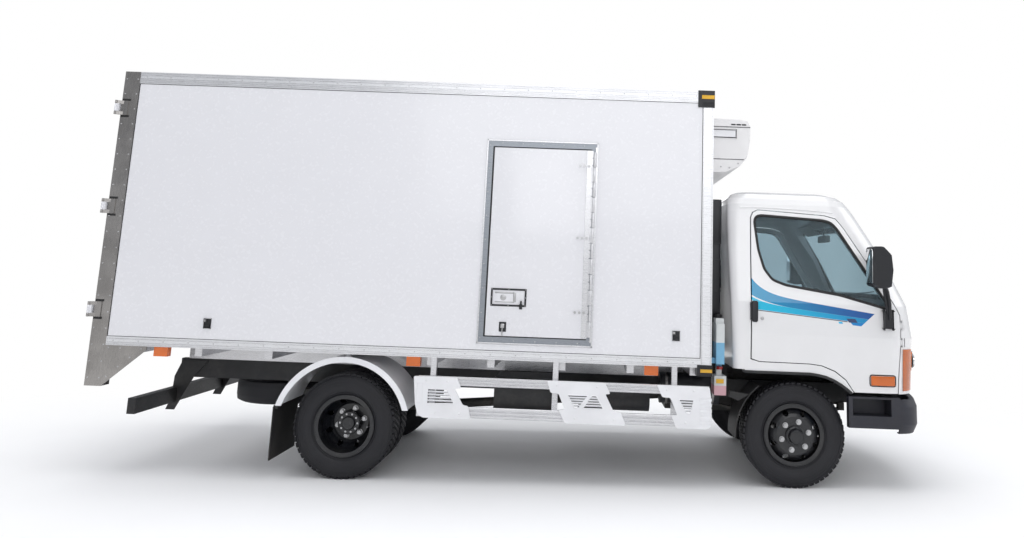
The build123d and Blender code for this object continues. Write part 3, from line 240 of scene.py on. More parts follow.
def bottle_level(tree, axes, base):
    """Blue washer fluid in the upper bottle, pink coolant in the lower one."""
    z = axes.outputs["Up"]
    washer = calc(tree, "MULTIPLY", calc(tree, "LESS_THAN", z, 0.72), calc(tree, "GREATER_THAN", z, 0.53))
    colour = blend_colour(tree, washer, base, (0.18, 0.42, 0.62, 1))
    coolant = calc(tree, "LESS_THAN", z, 0.40)
    return blend_colour(tree, coolant, colour, (0.62, 0.36, 0.40, 1))


def lamp_zones(tree, axes, base):
    """Clear headlamps beside the amber corners, and a dark foot under the roof lamp."""
    x, y, z = axes.outputs["Forward"], axes.outputs["Left"], axes.outputs["Up"]
    inner = calc(tree, "LESS_THAN", calc(tree, "ABSOLUTE", y), 0.868)
    ahead = calc(tree, "GREATER_THAN", x, 4.22)
    colour = blend_colour(tree, calc(tree, "MULTIPLY", inner, ahead), base, (0.50, 0.52, 0.54, 1))
    return blend_colour(tree, calc(tree, "GREATER_THAN", z, 1.8), colour, (0.012, 0.013, 0.016, 1))


def screen_border(tree, axes, base):
    """Black printed border round the windscreen."""
    y, z = axes.outputs["Left"], axes.outputs["Up"]
    wide = calc(tree, "ABSOLUTE", y)
    edge = calc(tree, "MAXIMUM", ramp(tree, wide, 0.775, 0.79), ramp(tree, z, 1.648, 1.668))
    edge = calc(tree, "MAXIMUM", edge, ramp(tree, z, 1.105, 1.13, 1.0, 0.0))
    front = calc(tree, "GREATER_THAN", axes.outputs["Forward"], 3.3)
    return blend_colour(tree, calc(tree, "MULTIPLY", edge, front), base, (0.006, 0.006, 0.007, 1))


def glass_of(name, tint, paint=None):
    mat = finish_of(name, tint, 0.03, film=0.06, top=2.4, grain=(260.0, (1, 1, 1), 0.01), mottle=0.01, rough_swing=0.02, paint=paint)
    skin = mat.node_tree.nodes["Principled BSDF"]
    skin.inputs["Transmission Weight"].default_value = 0.94
    skin.inputs["IOR"].default_value = 1.12
    return mat


def lens_of(name, colour, glow=0.0, paint=None):
    mat = finish_of(name, colour, 0.14, coat=0.6, film=0.05, grain=(170.0, (0.1, 1, 1), 0.35), mottle=0.12, rough_swing=0.05, paint=paint)
    skin = mat.node_tree.nodes["Principled BSDF"]
    skin.inputs["Transmission Weight"].default_value = 0.25
    skin.inputs["Emission Color"].default_value = tuple(colour[:3]) + (1,)
    skin.inputs["Emission Strength"].default_value = glow
    return mat


BRUSHED = (110.0, (0.12, 9, 9), 0.05)
UPRIGHT = (60.0, (9, 9, 0.4), 0.12)
finishes = {
    "gloss_panel": finish_of("gloss_panel", (0.755, 0.752, 0.778), 0.26, coat=0.30, film=0.03, top=2.0,
                             grain=(42.0, (1, 1, 1), 0.012), mottle=0.005, rough_swing=0.02),
    "inner_panel": finish_of("inner_panel", (0.72, 0.73, 0.74), 0.45, film=0.05, grain=(300.0, (1, 1, 1), 0.1), mottle=0.02),
    "cab_paint": finish_of("cab_paint", (0.76, 0.755, 0.76), 0.22, coat=0.8, film=0.05, top=0.9,
                           grain=(120.0, (1, 1, 1), 0.015), mottle=0.012, rough_swing=0.04),
    "door_paint": finish_of("door_paint", (0.76, 0.755, 0.76), 0.22, coat=0.8, film=0.05, top=0.9,
                            grain=(120.0, (1, 1, 1), 0.015), mottle=0.012, rough_swing=0.04, paint=door_stripe),
    "aluminium": finish_of("aluminium", (0.76, 0.765, 0.785), 0.34, metal=0.55, film=0.05, grain=BRUSHED, mottle=0.025, paint=rail_shades),
    "bright_rail": finish_of("bright_rail", (0.66, 0.66, 0.68), 0.30, metal=0.85, film=0.05, grain=BRUSHED, mottle=0.03),
    "stainless": finish_of("stainless", (0.37, 0.355, 0.345), 0.30, metal=1.0, film=0.10, top=2.6, grain=UPRIGHT, mottle=0.12, rough_swing=0.12),
    "zinc": finish_of("zinc", (0.52, 0.52, 0.53), 0.36, metal=1.0, film=0.15, grain=(300.0, (1, 1, 1), 0.15), mottle=0.1),
    "black_plastic": finish_of("black_plastic", (0.007, 0.008, 0.012), 0.42, film=0.05, grain=(900.0, (1, 1, 1), 0.18), mottle=0.1),
    "grey_plastic": finish_of("grey_plastic", (0.019, 0.020, 0.030), 0.50, film=0.08, top=0.8, grain=(800.0, (1, 1, 1), 0.22), mottle=0.12),
    "trim_plastic": finish_of("trim_plastic", (0.055, 0.057, 0.062), 0.55, film=0.03, grain=(700.0, (1, 1, 1), 0.3), mottle=0.08),
    "frame_black": finish_of("frame_black", (0.006, 0.007, 0.010), 0.46, film=0.14, top=0.9, grain=(120.0, (1, 1, 1), 0.25), mottle=0.25),
    "cast_iron": finish_of("cast_iron", (0.030, 0.030, 0.030), 0.60, metal=0.2, film=0.40, top=0.9, grain=(160.0, (1, 1, 1), 0.5), mottle=0.25),
    "tyre_rubber": finish_of("tyre_rubber", (0.007, 0.007, 0.011), 0.62, film=0.05, top=0.5, grain=(420.0, (1, 1, 1), 0.22), mottle=0.14,
                             dust=(0.11, 0.10, 0.09, 1)),
    "wheel_black": finish_of("wheel_black", (0.005, 0.006, 0.009), 0.34, coat=0.25, film=0.08, top=0.5, grain=(260.0, (1, 1, 1), 0.10), mottle=0.15),
    "seal_rubber": finish_of("seal_rubber", (0.010, 0.010, 0.011), 0.55, film=0.08, grain=(500.0, (1, 1, 1), 0.2), mottle=0.1),
    "clear_glass": glass_of("clear_glass", (0.50, 0.61, 0.66, 1)),
    "screen_glass": glass_of("screen_glass", (0.56, 0.67, 0.71, 1), paint=screen_border),
    "amber_lens": lens_of("amber_lens", (0.70, 0.145, 0.006, 1), glow=0.10),
    "front_lens": lens_of("front_lens", (0.70, 0.145, 0.006, 1), paint=lamp_zones),
    "red_lens": lens_of("red_lens", (0.42, 0.012, 0.010, 1), glow=0.05),
    "clear_lens": lens_of("clear_lens", (0.62, 0.64, 0.66, 1), glow=0.04),
    "fridge_white": finish_of("fridge_white", (0.75, 0.74, 0.74), 0.34, coat=0.2, film=0.10, top=2.6, grain=(220.0, (1, 1, 1), 0.05), mottle=0.02),
    "seat_cloth": finish_of("seat_cloth", (0.075, 0.078, 0.085), 0.85, film=0.0, grain=(700.0, (1, 1, 1), 0.6), mottle=0.18),
    "seat_vinyl": finish_of("seat_vinyl", (0.040, 0.041, 0.045), 0.55, film=0.0, grain=(420.0, (1, 1, 1), 0.4), mottle=0.1),
    "bottle_plastic": finish_of("bottle_plastic", (0.66, 0.68, 0.68), 0.36, film=0.12, grain=(200.0, (1, 1, 1), 0.08), mottle=0.05, paint=bottle_level),
    "label_yellow": finish_of("label_yellow", (0.72, 0.40, 0.02), 0.45, film=0.14, top=2.6, grain=(300.0, (1, 1, 1), 0.1), mottle=0.08),
    "mirror_silver": finish_of("mirror_silver", (0.80, 0.81, 0.82), 0.05, metal=1.0, film=0.03, grain=(100.0, (1, 1, 1), 0.01), mottle=0.02, rough_swing=0.03),
    "headliner": finish_of("headliner", (0.42, 0.42, 0.40), 0.80, film=0.0, grain=(500.0, (1, 1, 1), 0.3), mottle=0.05),
    "white_trim": finish_of("white_trim", (0.78, 0.78, 0.80), 0.34, coat=0.2, film=0.16, top=0.6, grain=(260.0, (1, 1, 1), 0.05), mottle=0.03),
    "guard_white": finish_of("guard_white", (0.82, 0.82, 0.84), 0.36, coat=0.2, film=0.07, top=0.7, grain=(260.0, (1, 1, 1), 0.05), mottle=0.04),
}

node_finish = {
    "box_wall_left": "gloss_panel", "box_wall_right": "gloss_panel", "box_wall_front": "gloss_panel", "box_roof": "gloss_panel",
    "box_floor": "bright_rail", "box_rails": "aluminium", "side_door": "gloss_panel", "box_hinges": "stainless",
    "rear_frame": "stainless", "rear_door_left": "gloss_panel", "rear_door_right": "gloss_panel",
    "rear_locks_left": "stainless", "rear_locks_right": "stainless", "corner_caps": "black_plastic",
    "box_lamps": "amber_lens", "fridge_unit": "fridge_white", "mudguards": "guard_white", "mud_flaps": "seal_rubber",
    "side_guards": "bright_rail", "skirt_panels": "white_trim", "rear_underrun": "frame_black",
    "chassis_frame": "frame_black", "front_axle": "cast_iron", "rear_axle": "cast_iron", "leaf_springs": "cast_iron",
    "engine": "cast_iron", "fuel_tank": "frame_black", "battery_box": "frame_black", "exhaust": "zinc",
    "fluid_bottles": "bottle_plastic", "air_cleaner": "black_plastic", "spare_wheel": "tyre_rubber",
    "knuckle_left": "cast_iron", "knuckle_right": "cast_iron", "tie_rod": "cast_iron",
    "front_tyre_left": "tyre_rubber", "front_tyre_right": "tyre_rubber", "rear_tyres_left": "tyre_rubber", "rear_tyres_right": "tyre_rubber",
    "front_rim_left": "wheel_black", "front_rim_right": "wheel_black", "rear_rims_left": "wheel_black", "rear_rims_right": "wheel_black",
    "cab_roof": "cab_paint", "cab_rear": "cab_paint", "cab_front": "cab_paint", "cab_floor": "trim_plastic",
    "cab_glass": "screen_glass", "cab_lamps": "front_lens", "cab_door_left": "door_paint", "cab_door_right": "door_paint",
    "door_glass_left": "clear_glass", "door_glass_right": "clear_glass", "mirror_left": "black_plastic", "mirror_right": "black_plastic",
    "dashboard": "trim_plastic", "seats": "seat_vinyl", "steering_wheel": "black_plastic", "front_bumper": "grey_plastic",
}
for name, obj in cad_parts.items():
    for place in obj.material_slots:
        place.material = finishes[node_finish[name]]

# Mesh helpers
class Shape:
    """Gathers solids of one piece in truck millimetres, then places them in the row's frame."""

    def __init__(self):
        self.bm = bmesh.new()

    def soften(self, verts, soft, steps):
        if soft:
            edges = list({edge for vert in verts for edge in vert.link_edges})
            bmesh.ops.bevel(self.bm, geom=edges, offset=soft, segments=steps, affect="EDGES", profile=0.5)
        return self

    def box(self, x0, x1, y0, y1, z0, z1, soft=0.0, steps=2):
        made = bmesh.ops.create_cube(self.bm, size=1)["verts"]
        for vert in made:
            at = vert.co + Vector((0.5, 0.5, 0.5))
            vert.co = (x0 + (x1 - x0) * at.x, y0 + (y1 - y0) * at.y, z0 + (z1 - z0) * at.z)
        return self.soften(made, soft, steps)

    def prism(self, outline, axis, low, high, soft=0.0, steps=2):
        def spot(pair, level):
            a, b = pair
            return {"x": (level, a, b), "y": (a, level, b), "z": (a, b, level)}[axis]
        bottom = [self.bm.verts.new(spot(pair, low)) for pair in outline]
        top = [self.bm.verts.new(spot(pair, high)) for pair in outline]
        count = len(outline)
        self.bm.faces.new(bottom)
        self.bm.faces.new(list(reversed(top)))
        for i in range(count):
            j = (i + 1) % count
            self.bm.faces.new((bottom[i], top[i], top[j], bottom[j]))
        return self.soften(bottom + top, soft, steps)

    def lathe(self, profile, centre, axis, steps=48, closed=False):
        """Turns (along, radius) points about the axis through the centre."""
        line = Vector(axis).normalized()
        across = line.orthogonal().normalized()
        side = line.cross(across)
        rings = []
        for i in range(steps):
            angle = 2 * math.pi * i / steps
            out = across * math.cos(angle) + side * math.sin(angle)
            rings.append([self.bm.verts.new(Vector(centre) + line * p + out * max(r, 0.001)) for p, r in profile])
        span = len(profile) if closed else len(profile) - 1
        for i in range(steps):
            here, there = rings[i], rings[(i + 1) % steps]
            for k in range(span):
                m = (k + 1) % len(profile)
                self.bm.faces.new((here[k], here[m], there[m], there[k]))
        if not closed:
            for k in (0, -1):
                self.bm.faces.new([ring[k] for ring in rings])
        return self

    def tube(self, path, radius, sides=10, closed=False, flat=1.0, about=(0, 0, 1)):
        spots = [Vector(p) for p in path]
        count = len(spots)
        rings = []
        side = None
        for i, spot in enumerate(spots):
            before = spots[i - 1] if (i or closed) else spot
            after = spots[(i + 1) % count] if (i < count - 1 or closed) else spot
            run = (after - before).normalized()
            if side is None:
                side = run.cross(Vector(about))
                side = side if side.length > 0.01 else run.orthogonal()
            side = (side - run * side.dot(run)).normalized()
            lift = run.cross(side)
            ring = []
            for k in range(sides):
                angle = 2 * math.pi * (k + 0.5) / sides
                ring.append(self.bm.verts.new(spot + side * radius * math.cos(angle) + lift * radius * flat * math.sin(angle)))
            rings.append(ring)
        for i in range(count if closed else count - 1):
            here, there = rings[i], rings[(i + 1) % count]
            for k in range(sides):
                m = (k + 1) % sides
                self.bm.faces.new((here[k], here[m], there[m], there[k]))
        if not closed:
            self.bm.faces.new(rings[0])
            self.bm.faces.new(rings[-1])
        return self

    def mirrored(self):
        """Adds the same solids on the truck's other side."""
        copy = bmesh.ops.duplicate(self.bm, geom=self.bm.verts[:] + self.bm.edges[:] + self.bm.faces[:])["geom"]
        for part in copy:
            if isinstance(part, bmesh.types.BMVert):
                part.co.y = -part.co.y
        return self

    def place(self, name, finish, body, smooth=35, stands_for=()):
        bmesh.ops.remove_doubles(self.bm, verts=self.bm.verts, dist=0.01)
        bmesh.ops.recalc_face_normals(self.bm, faces=self.bm.faces)
        self.bm.transform(PARKED)
        mesh = bpy.data.meshes.new(name)
        self.bm.to_mesh(mesh)
        self.bm.free()
        return settle(bpy.data.objects.new(name, mesh), finish, body, smooth, stands_for)


def settle(obj, finish, body, smooth=35, stands_for=()):
    bpy.context.collection.objects.link(obj)
    obj.data.materials.clear()
    obj.data.materials.append(finishes[finish])
    for face in obj.data.polygons:
        face.use_smooth = True
    obj.data.set_sharp_from_angle(angle=math.radians(smooth))
    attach(obj, body)
    if stands_for:
        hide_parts(*stands_for)
    return obj


# Geometry node trees for what repeats
def growing_tree(name, sizes):
    tree = bpy.data.node_groups.new(name, "GeometryNodeTree")
    tree.interface.new_socket("Geometry", in_out="INPUT", socket_type="NodeSocketGeometry")
    for label, kind, value in sizes:
        made = tree.interface.new_socket(label, in_out="INPUT", socket_type=kind)
        made.default_value = value
    tree.interface.new_socket("Finish", in_out="INPUT", socket_type="NodeSocketMaterial")
    tree.interface.new_socket("Geometry", in_out="OUTPUT", socket_type="NodeSocketGeometry")
    return tree, tree.nodes.new("NodeGroupInput").outputs, tree.nodes.new("NodeGroupOutput").inputs


def end_tree(tree, given, out, instances):
    real = add_node(tree, "GeometryNodeRealizeInstances", {0: instances})
    painted = add_node(tree, "GeometryNodeSetMaterial", {"Geometry": real.outputs[0], "Material": given["Finish"]})
    tree.links.new(painted.outputs[0], out[0])


def facing_turn(tree):
    """Rotation that stands an instance's Z on the stored facing and its X along the stored run."""
    facing = add_node(tree, "GeometryNodeInputNamedAttribute", {"Name": "facing"}, data_type="FLOAT_VECTOR")
    run = add_node(tree, "GeometryNodeInputNamedAttribute", {"Name": "run"}, data_type="FLOAT_VECTOR")
    upright = add_node(tree, "FunctionNodeAlignRotationToVector", {"Vector": facing.outputs[0]}, axis="Z")
    turned = add_node(tree, "FunctionNodeAlignRotationToVector", {"Rotation": upright.outputs[0], "Vector": run.outputs[0]},
                      axis="X", pivot_axis="Z")
    return turned.outputs[0]


def make_bolt_tree():
    """Hexagon head on a washer at each point."""
    tree, given, out = growing_tree("hex_bolts", [
        ("Washer Radius", FLOAT, 0.012), ("Head Radius", FLOAT, 0.008), ("Head Height", FLOAT, 0.007), ("Washer Height", FLOAT, 0.002)])
    washer = add_node(tree, "GeometryNodeMeshCylinder", {"Vertices": 16, "Radius": given["Washer Radius"], "Depth": given["Washer Height"]})
    head = add_node(tree, "GeometryNodeMeshCylinder", {"Vertices": 6, "Radius": given["Head Radius"], "Depth": given["Head Height"]})
    lift = calc(tree, "MULTIPLY", given["Head Height"], 0.5)
    up = add_node(tree, "ShaderNodeCombineXYZ", {"Z": lift})
    raised = add_node(tree, "GeometryNodeTransform", {"Geometry": head.outputs[0], "Translation": up.outputs[0]})
    both = add_node(tree, "GeometryNodeJoinGeometry")
    tree.links.new(washer.outputs[0], both.inputs[0])
    tree.links.new(raised.outputs[0], both.inputs[0])
    laid = add_node(tree, "GeometryNodeInstanceOnPoints", {"Points": given["Geometry"], "Instance": both.outputs[0], "Rotation": facing_turn(tree)})
    end_tree(tree, given, out, laid.outputs[0])
    return tree


def make_rivet_tree():
    """Low domed head at each point."""
    tree, given, out = growing_tree("domed_rivets", [("Radius", FLOAT, 0.006), ("Rise", FLOAT, 0.45)])
    dome = add_node(tree, "GeometryNodeMeshUVSphere", {"Segments": 10, "Rings": 6, "Radius": given["Radius"]})
    scale = add_node(tree, "ShaderNodeCombineXYZ", {"X": 1.0, "Y": 1.0, "Z": given["Rise"]})
    flat = add_node(tree, "GeometryNodeTransform", {"Geometry": dome.outputs[0], "Scale": scale.outputs[0]})
    laid = add_node(tree, "GeometryNodeInstanceOnPoints", {"Points": given["Geometry"], "Instance": flat.outputs[0], "Rotation": facing_turn(tree)})
    end_tree(tree, given, out, laid.outputs[0])
    return tree


def make_bar_tree():
    """Bar of a given length, width and height at each point, with rounded long edges."""
    tree, given, out = growing_tree("repeated_bars", [("Length", FLOAT, 0.1), ("Width", FLOAT, 0.01), ("Height", FLOAT, 0.01)])
    half = calc(tree, "MULTIPLY", given["Length"], 0.5)
    back = calc(tree, "MULTIPLY", half, -1.0)
    start = add_node(tree, "ShaderNodeCombineXYZ", {"X": back})
    stop = add_node(tree, "ShaderNodeCombineXYZ", {"X": half})
    line = add_node(tree, "GeometryNodeCurvePrimitiveLine", {"Start": start.outputs[0], "End": stop.outputs[0]})
    section = add_node(tree, "GeometryNodeCurvePrimitiveQuadrilateral", {"Width": given["Width"], "Height": given["Height"]})
    least = calc(tree, "MINIMUM", given["Width"], given["Height"])
    rounded = add_node(tree, "GeometryNodeFilletCurve", {"Curve": section.outputs[0], "Radius": calc(tree, "MULTIPLY", least, 0.22)})
    swept = add_node(tree, "GeometryNodeCurveToMesh", {"Curve": line.outputs[0], "Profile Curve": rounded.outputs[0], "Fill Caps": True})
    laid = add_node(tree, "GeometryNodeInstanceOnPoints", {"Points": given["Geometry"], "Instance": swept.outputs[0], "Rotation": facing_turn(tree)})
    end_tree(tree, given, out, laid.outputs[0])
    return tree


def make_tread_tree():
    """Staggered ribs of tread blocks round a tyre, from a circle of points for each rib."""
    tree, given, out = growing_tree("tread_blocks", [
        ("Blocks", "NodeSocketInt", 54), ("Ribs", "NodeSocketInt", 5), ("Radius", FLOAT, 0.3764), ("Rib Pitch", FLOAT, 0.034),
        ("Block Length", FLOAT, 0.034), ("Block Width", FLOAT, 0.027), ("Block Height", FLOAT, 0.012), ("Lean", FLOAT, 0.32)])
    loop = add_node(tree, "GeometryNodeMeshCircle", {"Vertices": given["Blocks"], "Radius": given["Radius"]})
    spot = add_node(tree, "GeometryNodeInputPosition")
    outward = add_node(tree, "FunctionNodeAlignRotationToVector", {"Vector": spot.outputs[0]}, axis="X", pivot_axis="Z")
    kept = add_node(tree, "GeometryNodeStoreNamedAttribute",
                    {"Geometry": loop.outputs[0], "Name": "outward", "Value": outward.outputs[0]}, data_type="QUATERNION", domain="POINT")
    count_less = calc(tree, "SUBTRACT", given["Ribs"], 1.0)
    first = calc(tree, "MULTIPLY", calc(tree, "MULTIPLY", count_less, given["Rib Pitch"]), -0.5)
    begin = add_node(tree, "ShaderNodeCombineXYZ", {"Z": first})
    stride = add_node(tree, "ShaderNodeCombineXYZ", {"Z": given["Rib Pitch"]})
    ribs = add_node(tree, "GeometryNodeMeshLine", {"Count": given["Ribs"], "Start Location": begin.outputs[0], "Offset": stride.outputs[0]},
                    mode="OFFSET")
    index = add_node(tree, "GeometryNodeInputIndex")
    shift = calc(tree, "MULTIPLY", index.outputs[0], 0.047)
    stagger = add_node(tree, "ShaderNodeCombineXYZ", {"Z": shift})
    rows = add_node(tree, "GeometryNodeInstanceOnPoints", {"Points": ribs.outputs[0], "Instance": kept.outputs[0], "Rotation": stagger.outputs[0]})
    dots = add_node(tree, "GeometryNodeRealizeInstances", {0: rows.outputs[0]})
    size = add_node(tree, "ShaderNodeCombineXYZ", {"X": given["Block Height"], "Y": given["Block Length"], "Z": given["Block Width"]})
    block = add_node(tree, "GeometryNodeMeshCube", {"Size": size.outputs[0]})
    spot2 = add_node(tree, "GeometryNodeInputPosition")
    flat = add_node(tree, "ShaderNodeVectorMath", {0: spot2.outputs[0], 1: (1, 1, 0)}, operation="MULTIPLY")
    turned = add_node(tree, "FunctionNodeAlignRotationToVector", {"Vector": flat.outputs[0]}, axis="X", pivot_axis="Z")
    lean = add_node(tree, "ShaderNodeCombineXYZ", {"X": given["Lean"]})
    leaned = add_node(tree, "FunctionNodeRotateRotation", {"Rotation": turned.outputs[0], "Rotate By": lean.outputs[0]}, rotation_space="LOCAL")
    laid = add_node(tree, "GeometryNodeInstanceOnPoints", {"Points": dots.outputs[0], "Instance": block.outputs[0], "Rotation": leaned.outputs[0]})
    end_tree(tree, given, out, laid.outputs[0])
    return tree


BOLTS, RIVETS, BARS, TREAD = make_bolt_tree(), make_rivet_tree(), make_bar_tree(), make_tread_tree()


def grow(name, tree, finish, body, points, sizes=None, smooth=35, at=None, stands_for=()):
    """Runs a tree on points given as (place, facing, run) and keeps the result as a plain mesh."""
    seed = bpy.data.meshes.new(name + "_points")
    seed.from_pydata([metres(spot) for spot, _, _ in points], [], [])
    for label, column in (("facing", 1), ("run", 2)):
        layer = seed.attributes.new(label, "FLOAT_VECTOR", "POINT")
        for i, row in enumerate(points):
            layer.data[i].vector = heading(row[column])
    obj = bpy.data.objects.new(name, seed)
    bpy.context.collection.objects.link(obj)
    grower = obj.modifiers.new("grow", "NODES")
    grower.node_group = tree
    sockets = {item.name: item.identifier for item in tree.interface.items_tree if item.in_out == "INPUT"}
    grower[sockets["Finish"]] = finishes[finish]
    for label, value in (sizes or {}).items():
        grower[sockets[label]] = value
    shown = obj.evaluated_get(bpy.context.evaluated_depsgraph_get())
    mesh = bpy.data.meshes.new_from_object(shown)
    obj.modifiers.remove(grower)
    bpy.data.objects.remove(obj)
    bpy.data.meshes.remove(seed)
    for layer in [a.name for a in mesh.attributes if a.name in ("facing", "run", "outward")]:
        mesh.attributes.remove(mesh.attributes[layer])
    if at is not None:
        mesh.transform(at)
    mesh.name = name
    return settle(bpy.data.objects.new(name, mesh), finish, body, smooth, stands_for)


UP, FORWARD, LEFT = (0, 0, 1), (1, 0, 0), (0, 1, 0)
RIGHT, BACK, DOWN = (0, -1, 0), (-1, 0, 0), (0, 0, -1)
SIDES = ((-1, "right"), (1, "left"))


def spread(low, high, count):
    return [low + (high - low) * i / (count - 1) for i in range(count)]


class Skin:
    """Finds the outer surface of some CAD nodes, in truck millimetres."""

    def __init__(self, *names):
        verts, faces = [], []
        back = PARKED.inverted()
        for name in names:
            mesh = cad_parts[name].data
            start = len(verts)
            verts += [back @ v.co for v in mesh.vertices]
            faces += [[start + i for i in face.vertices] for face in mesh.polygons]
        self.tree = BVHTree.FromPolygons(verts, faces)

    def hit(self, start, way):
        spot, normal, _, _ = self.tree.ray_cast(Vector(start), Vector(way))
        return spot, normal

    def side(self, x, z, s, off=0.0):
        spot, _ = self.hit((x, s * 1400, z), (0, -s, 0))
        return (x, (spot.y if spot else s * 950) + s * off, z)

    def front(self, y, z, off=0.0):
        spot, _ = self.hit((4900, y, z), (-1, 0, 0))
        return ((spot.x if spot else 4440) + off, y, z)


# Tyres with tread, sidewall rings and beads
tyre_side = [(-76, 204), (-76, 229), (-88, 244), (-96, 262), (-99.4, 285), (-99.6, 300), (-97, 318), (-94, 340), (-90, 356), (-84, 366),
             (-80, 370), (-60, 372), (0, 372.5)]
tyre_section = tyre_side + [(-p, r) for p, r in reversed(tyre_side[:-1])]
ring_radii = [(243, 1.6), (262, 1.3), (312, 1.6), (332, 1.3), (352, 1.4)]


def tyre(name, centre, y_mid, body, stands_for):
    shape = Shape()
    shape.lathe(tyre_section, (centre[0], y_mid, centre[1]), LEFT, steps=96, closed=True)
    for radius, rise in ring_radii:
        for s in (-1, 1):
            half = 86 + 11 * min(1, (radius - 229) / 40) if radius < 300 else 99 - (radius - 300) * 0.13
            shape.lathe([(s * (half - 3), radius - 2), (s * (half + rise), radius - 1), (s * (half + rise), radius + 1), (s * (half - 3), radius + 2)],
                        (centre[0], y_mid, centre[1]), LEFT, steps=96, closed=True)
    shape.place(name, "tyre_rubber", body, smooth=28, stands_for=stands_for)
    spin = Matrix.Translation(metres((centre[0], y_mid, centre[1]))) @ TURN @ Matrix.Rotation(math.pi / 2, 4, "X")
    grow(name + "_tread", TREAD, "tyre_rubber", body, [((0, 0, 0), UP, FORWARD)], at=spin)


front_axle_spot = (3400 * math.cos(RAKE), 3400 * math.sin(RAKE))
for s, hand in SIDES:
    tyre(f"front_tyre_{hand}_worn", front_axle_spot, s * 825, f"wheel_front_{hand}", [f"front_tyre_{hand}"])
    tyre(f"rear_tyre_outer_{hand}", (0, 0), s * 857, f"wheel_rear_{hand}", [f"rear_tyres_{hand}"])
    tyre(f"rear_tyre_inner_{hand}", (0, 0), s * 627, f"wheel_rear_{hand}", [f"rear_tyres_{hand}"])


def ring_points(centre, y, radius, count, facing, first=0.0):
    made = []
    for i in range(count):
        a = first + 2 * math.pi * i / count
        out = (math.cos(a), 0, math.sin(a))
        made.append(((centre[0] + radius * out[0], y, centre[1] + radius * out[2]), facing, out))
    return made


# Wheel nuts, hub caps and the rolled lips
for s, hand in SIDES:
    out = (0, s, 0)
    cx, cz = front_axle_spot
    face = s * (825 + 115.4)
    body = f"wheel_front_{hand}"
    grow(f"front_nuts_{hand}", BOLTS, "zinc", body, ring_points(front_axle_spot, face, 104, 6, out, 0.26),
         {"Washer Radius": 0.021, "Head Radius": 0.0165, "Head Height": 0.021, "Washer Height": 0.006})
    hub = Shape()
    hub.lathe([(s * 112, 0), (s * 112, 74), (s * 131, 72), (s * 136, 66), (s * 137, 58), (s * 158, 55), (s * 167, 50), (s * 169, 40), (s * 169, 0)],
              (cx, s * 825, cz), LEFT, steps=40)
    hub.place(f"front_hub_cap_{hand}", "wheel_black", body, stands_for=())
    grow(f"front_hub_bolts_{hand}", BOLTS, "wheel_black", body, ring_points(front_axle_spot, s * (825 + 137), 63, 8, out),
         {"Washer Radius": 0.0065, "Head Radius": 0.0055, "Head Height": 0.006, "Washer Height": 0.001})
    body = f"wheel_rear_{hand}"
    dish = s * (742 + 62)
    grow(f"rear_nuts_{hand}", BOLTS, "zinc", body, ring_points((0, 0), s * (742 + 10.4), 104, 6, out, 0.26),
         {"Washer Radius": 0.021, "Head Radius": 0.0165, "Head Height": 0.030, "Washer Height": 0.006})
    hub = Shape()
    hub.lathe([(s * 58, 0), (s * 58, 88), (s * 74, 87), (s * 78, 82), (s * 79, 52), (s * 94, 50), (s * 99, 44), (s * 100, 0)],
              (0, s * 742, 0), LEFT, steps=40)
    hub.place(f"rear_hub_cap_{hand}", "wheel_black", body)
    grow(f"rear_hub_bolts_{hand}", BOLTS, "zinc", body, ring_points((0, 0), s * (742 + 79), 67, 10, out),
         {"Washer Radius": 0.0075, "Head Radius": 0.0060, "Head Height": 0.006, "Washer Height": 0.001})
    for name, spot, y_mid, turn_out in (("front_rim_bead", front_axle_spot, s * 825, f"wheel_front_{hand}"),
                                        ("rear_rim_bead", (0, 0), s * 857, f"wheel_rear_{hand}")):
        lip = Shape()
        lip.lathe([(s * 80, 222), (s * 84.5, 221), (s * 86.5, 224), (s * 85.5, 227.5), (s * 81, 229)], (spot[0], y_mid, spot[1]), LEFT,
                  steps=72, closed=True)
        lip.place(f"{name}_{hand}", "wheel_black", turn_out)
        valve = Shape()
        valve.tube([(spot[0] + 190, y_mid + s * 40, spot[1]), (spot[0] + 186, y_mid + s * 74, spot[1]), (spot[0] + 178, y_mid + s * 92, spot[1])], 4, 8)
        valve.place(f"{name}_valve_{hand}", "zinc", turn_out)

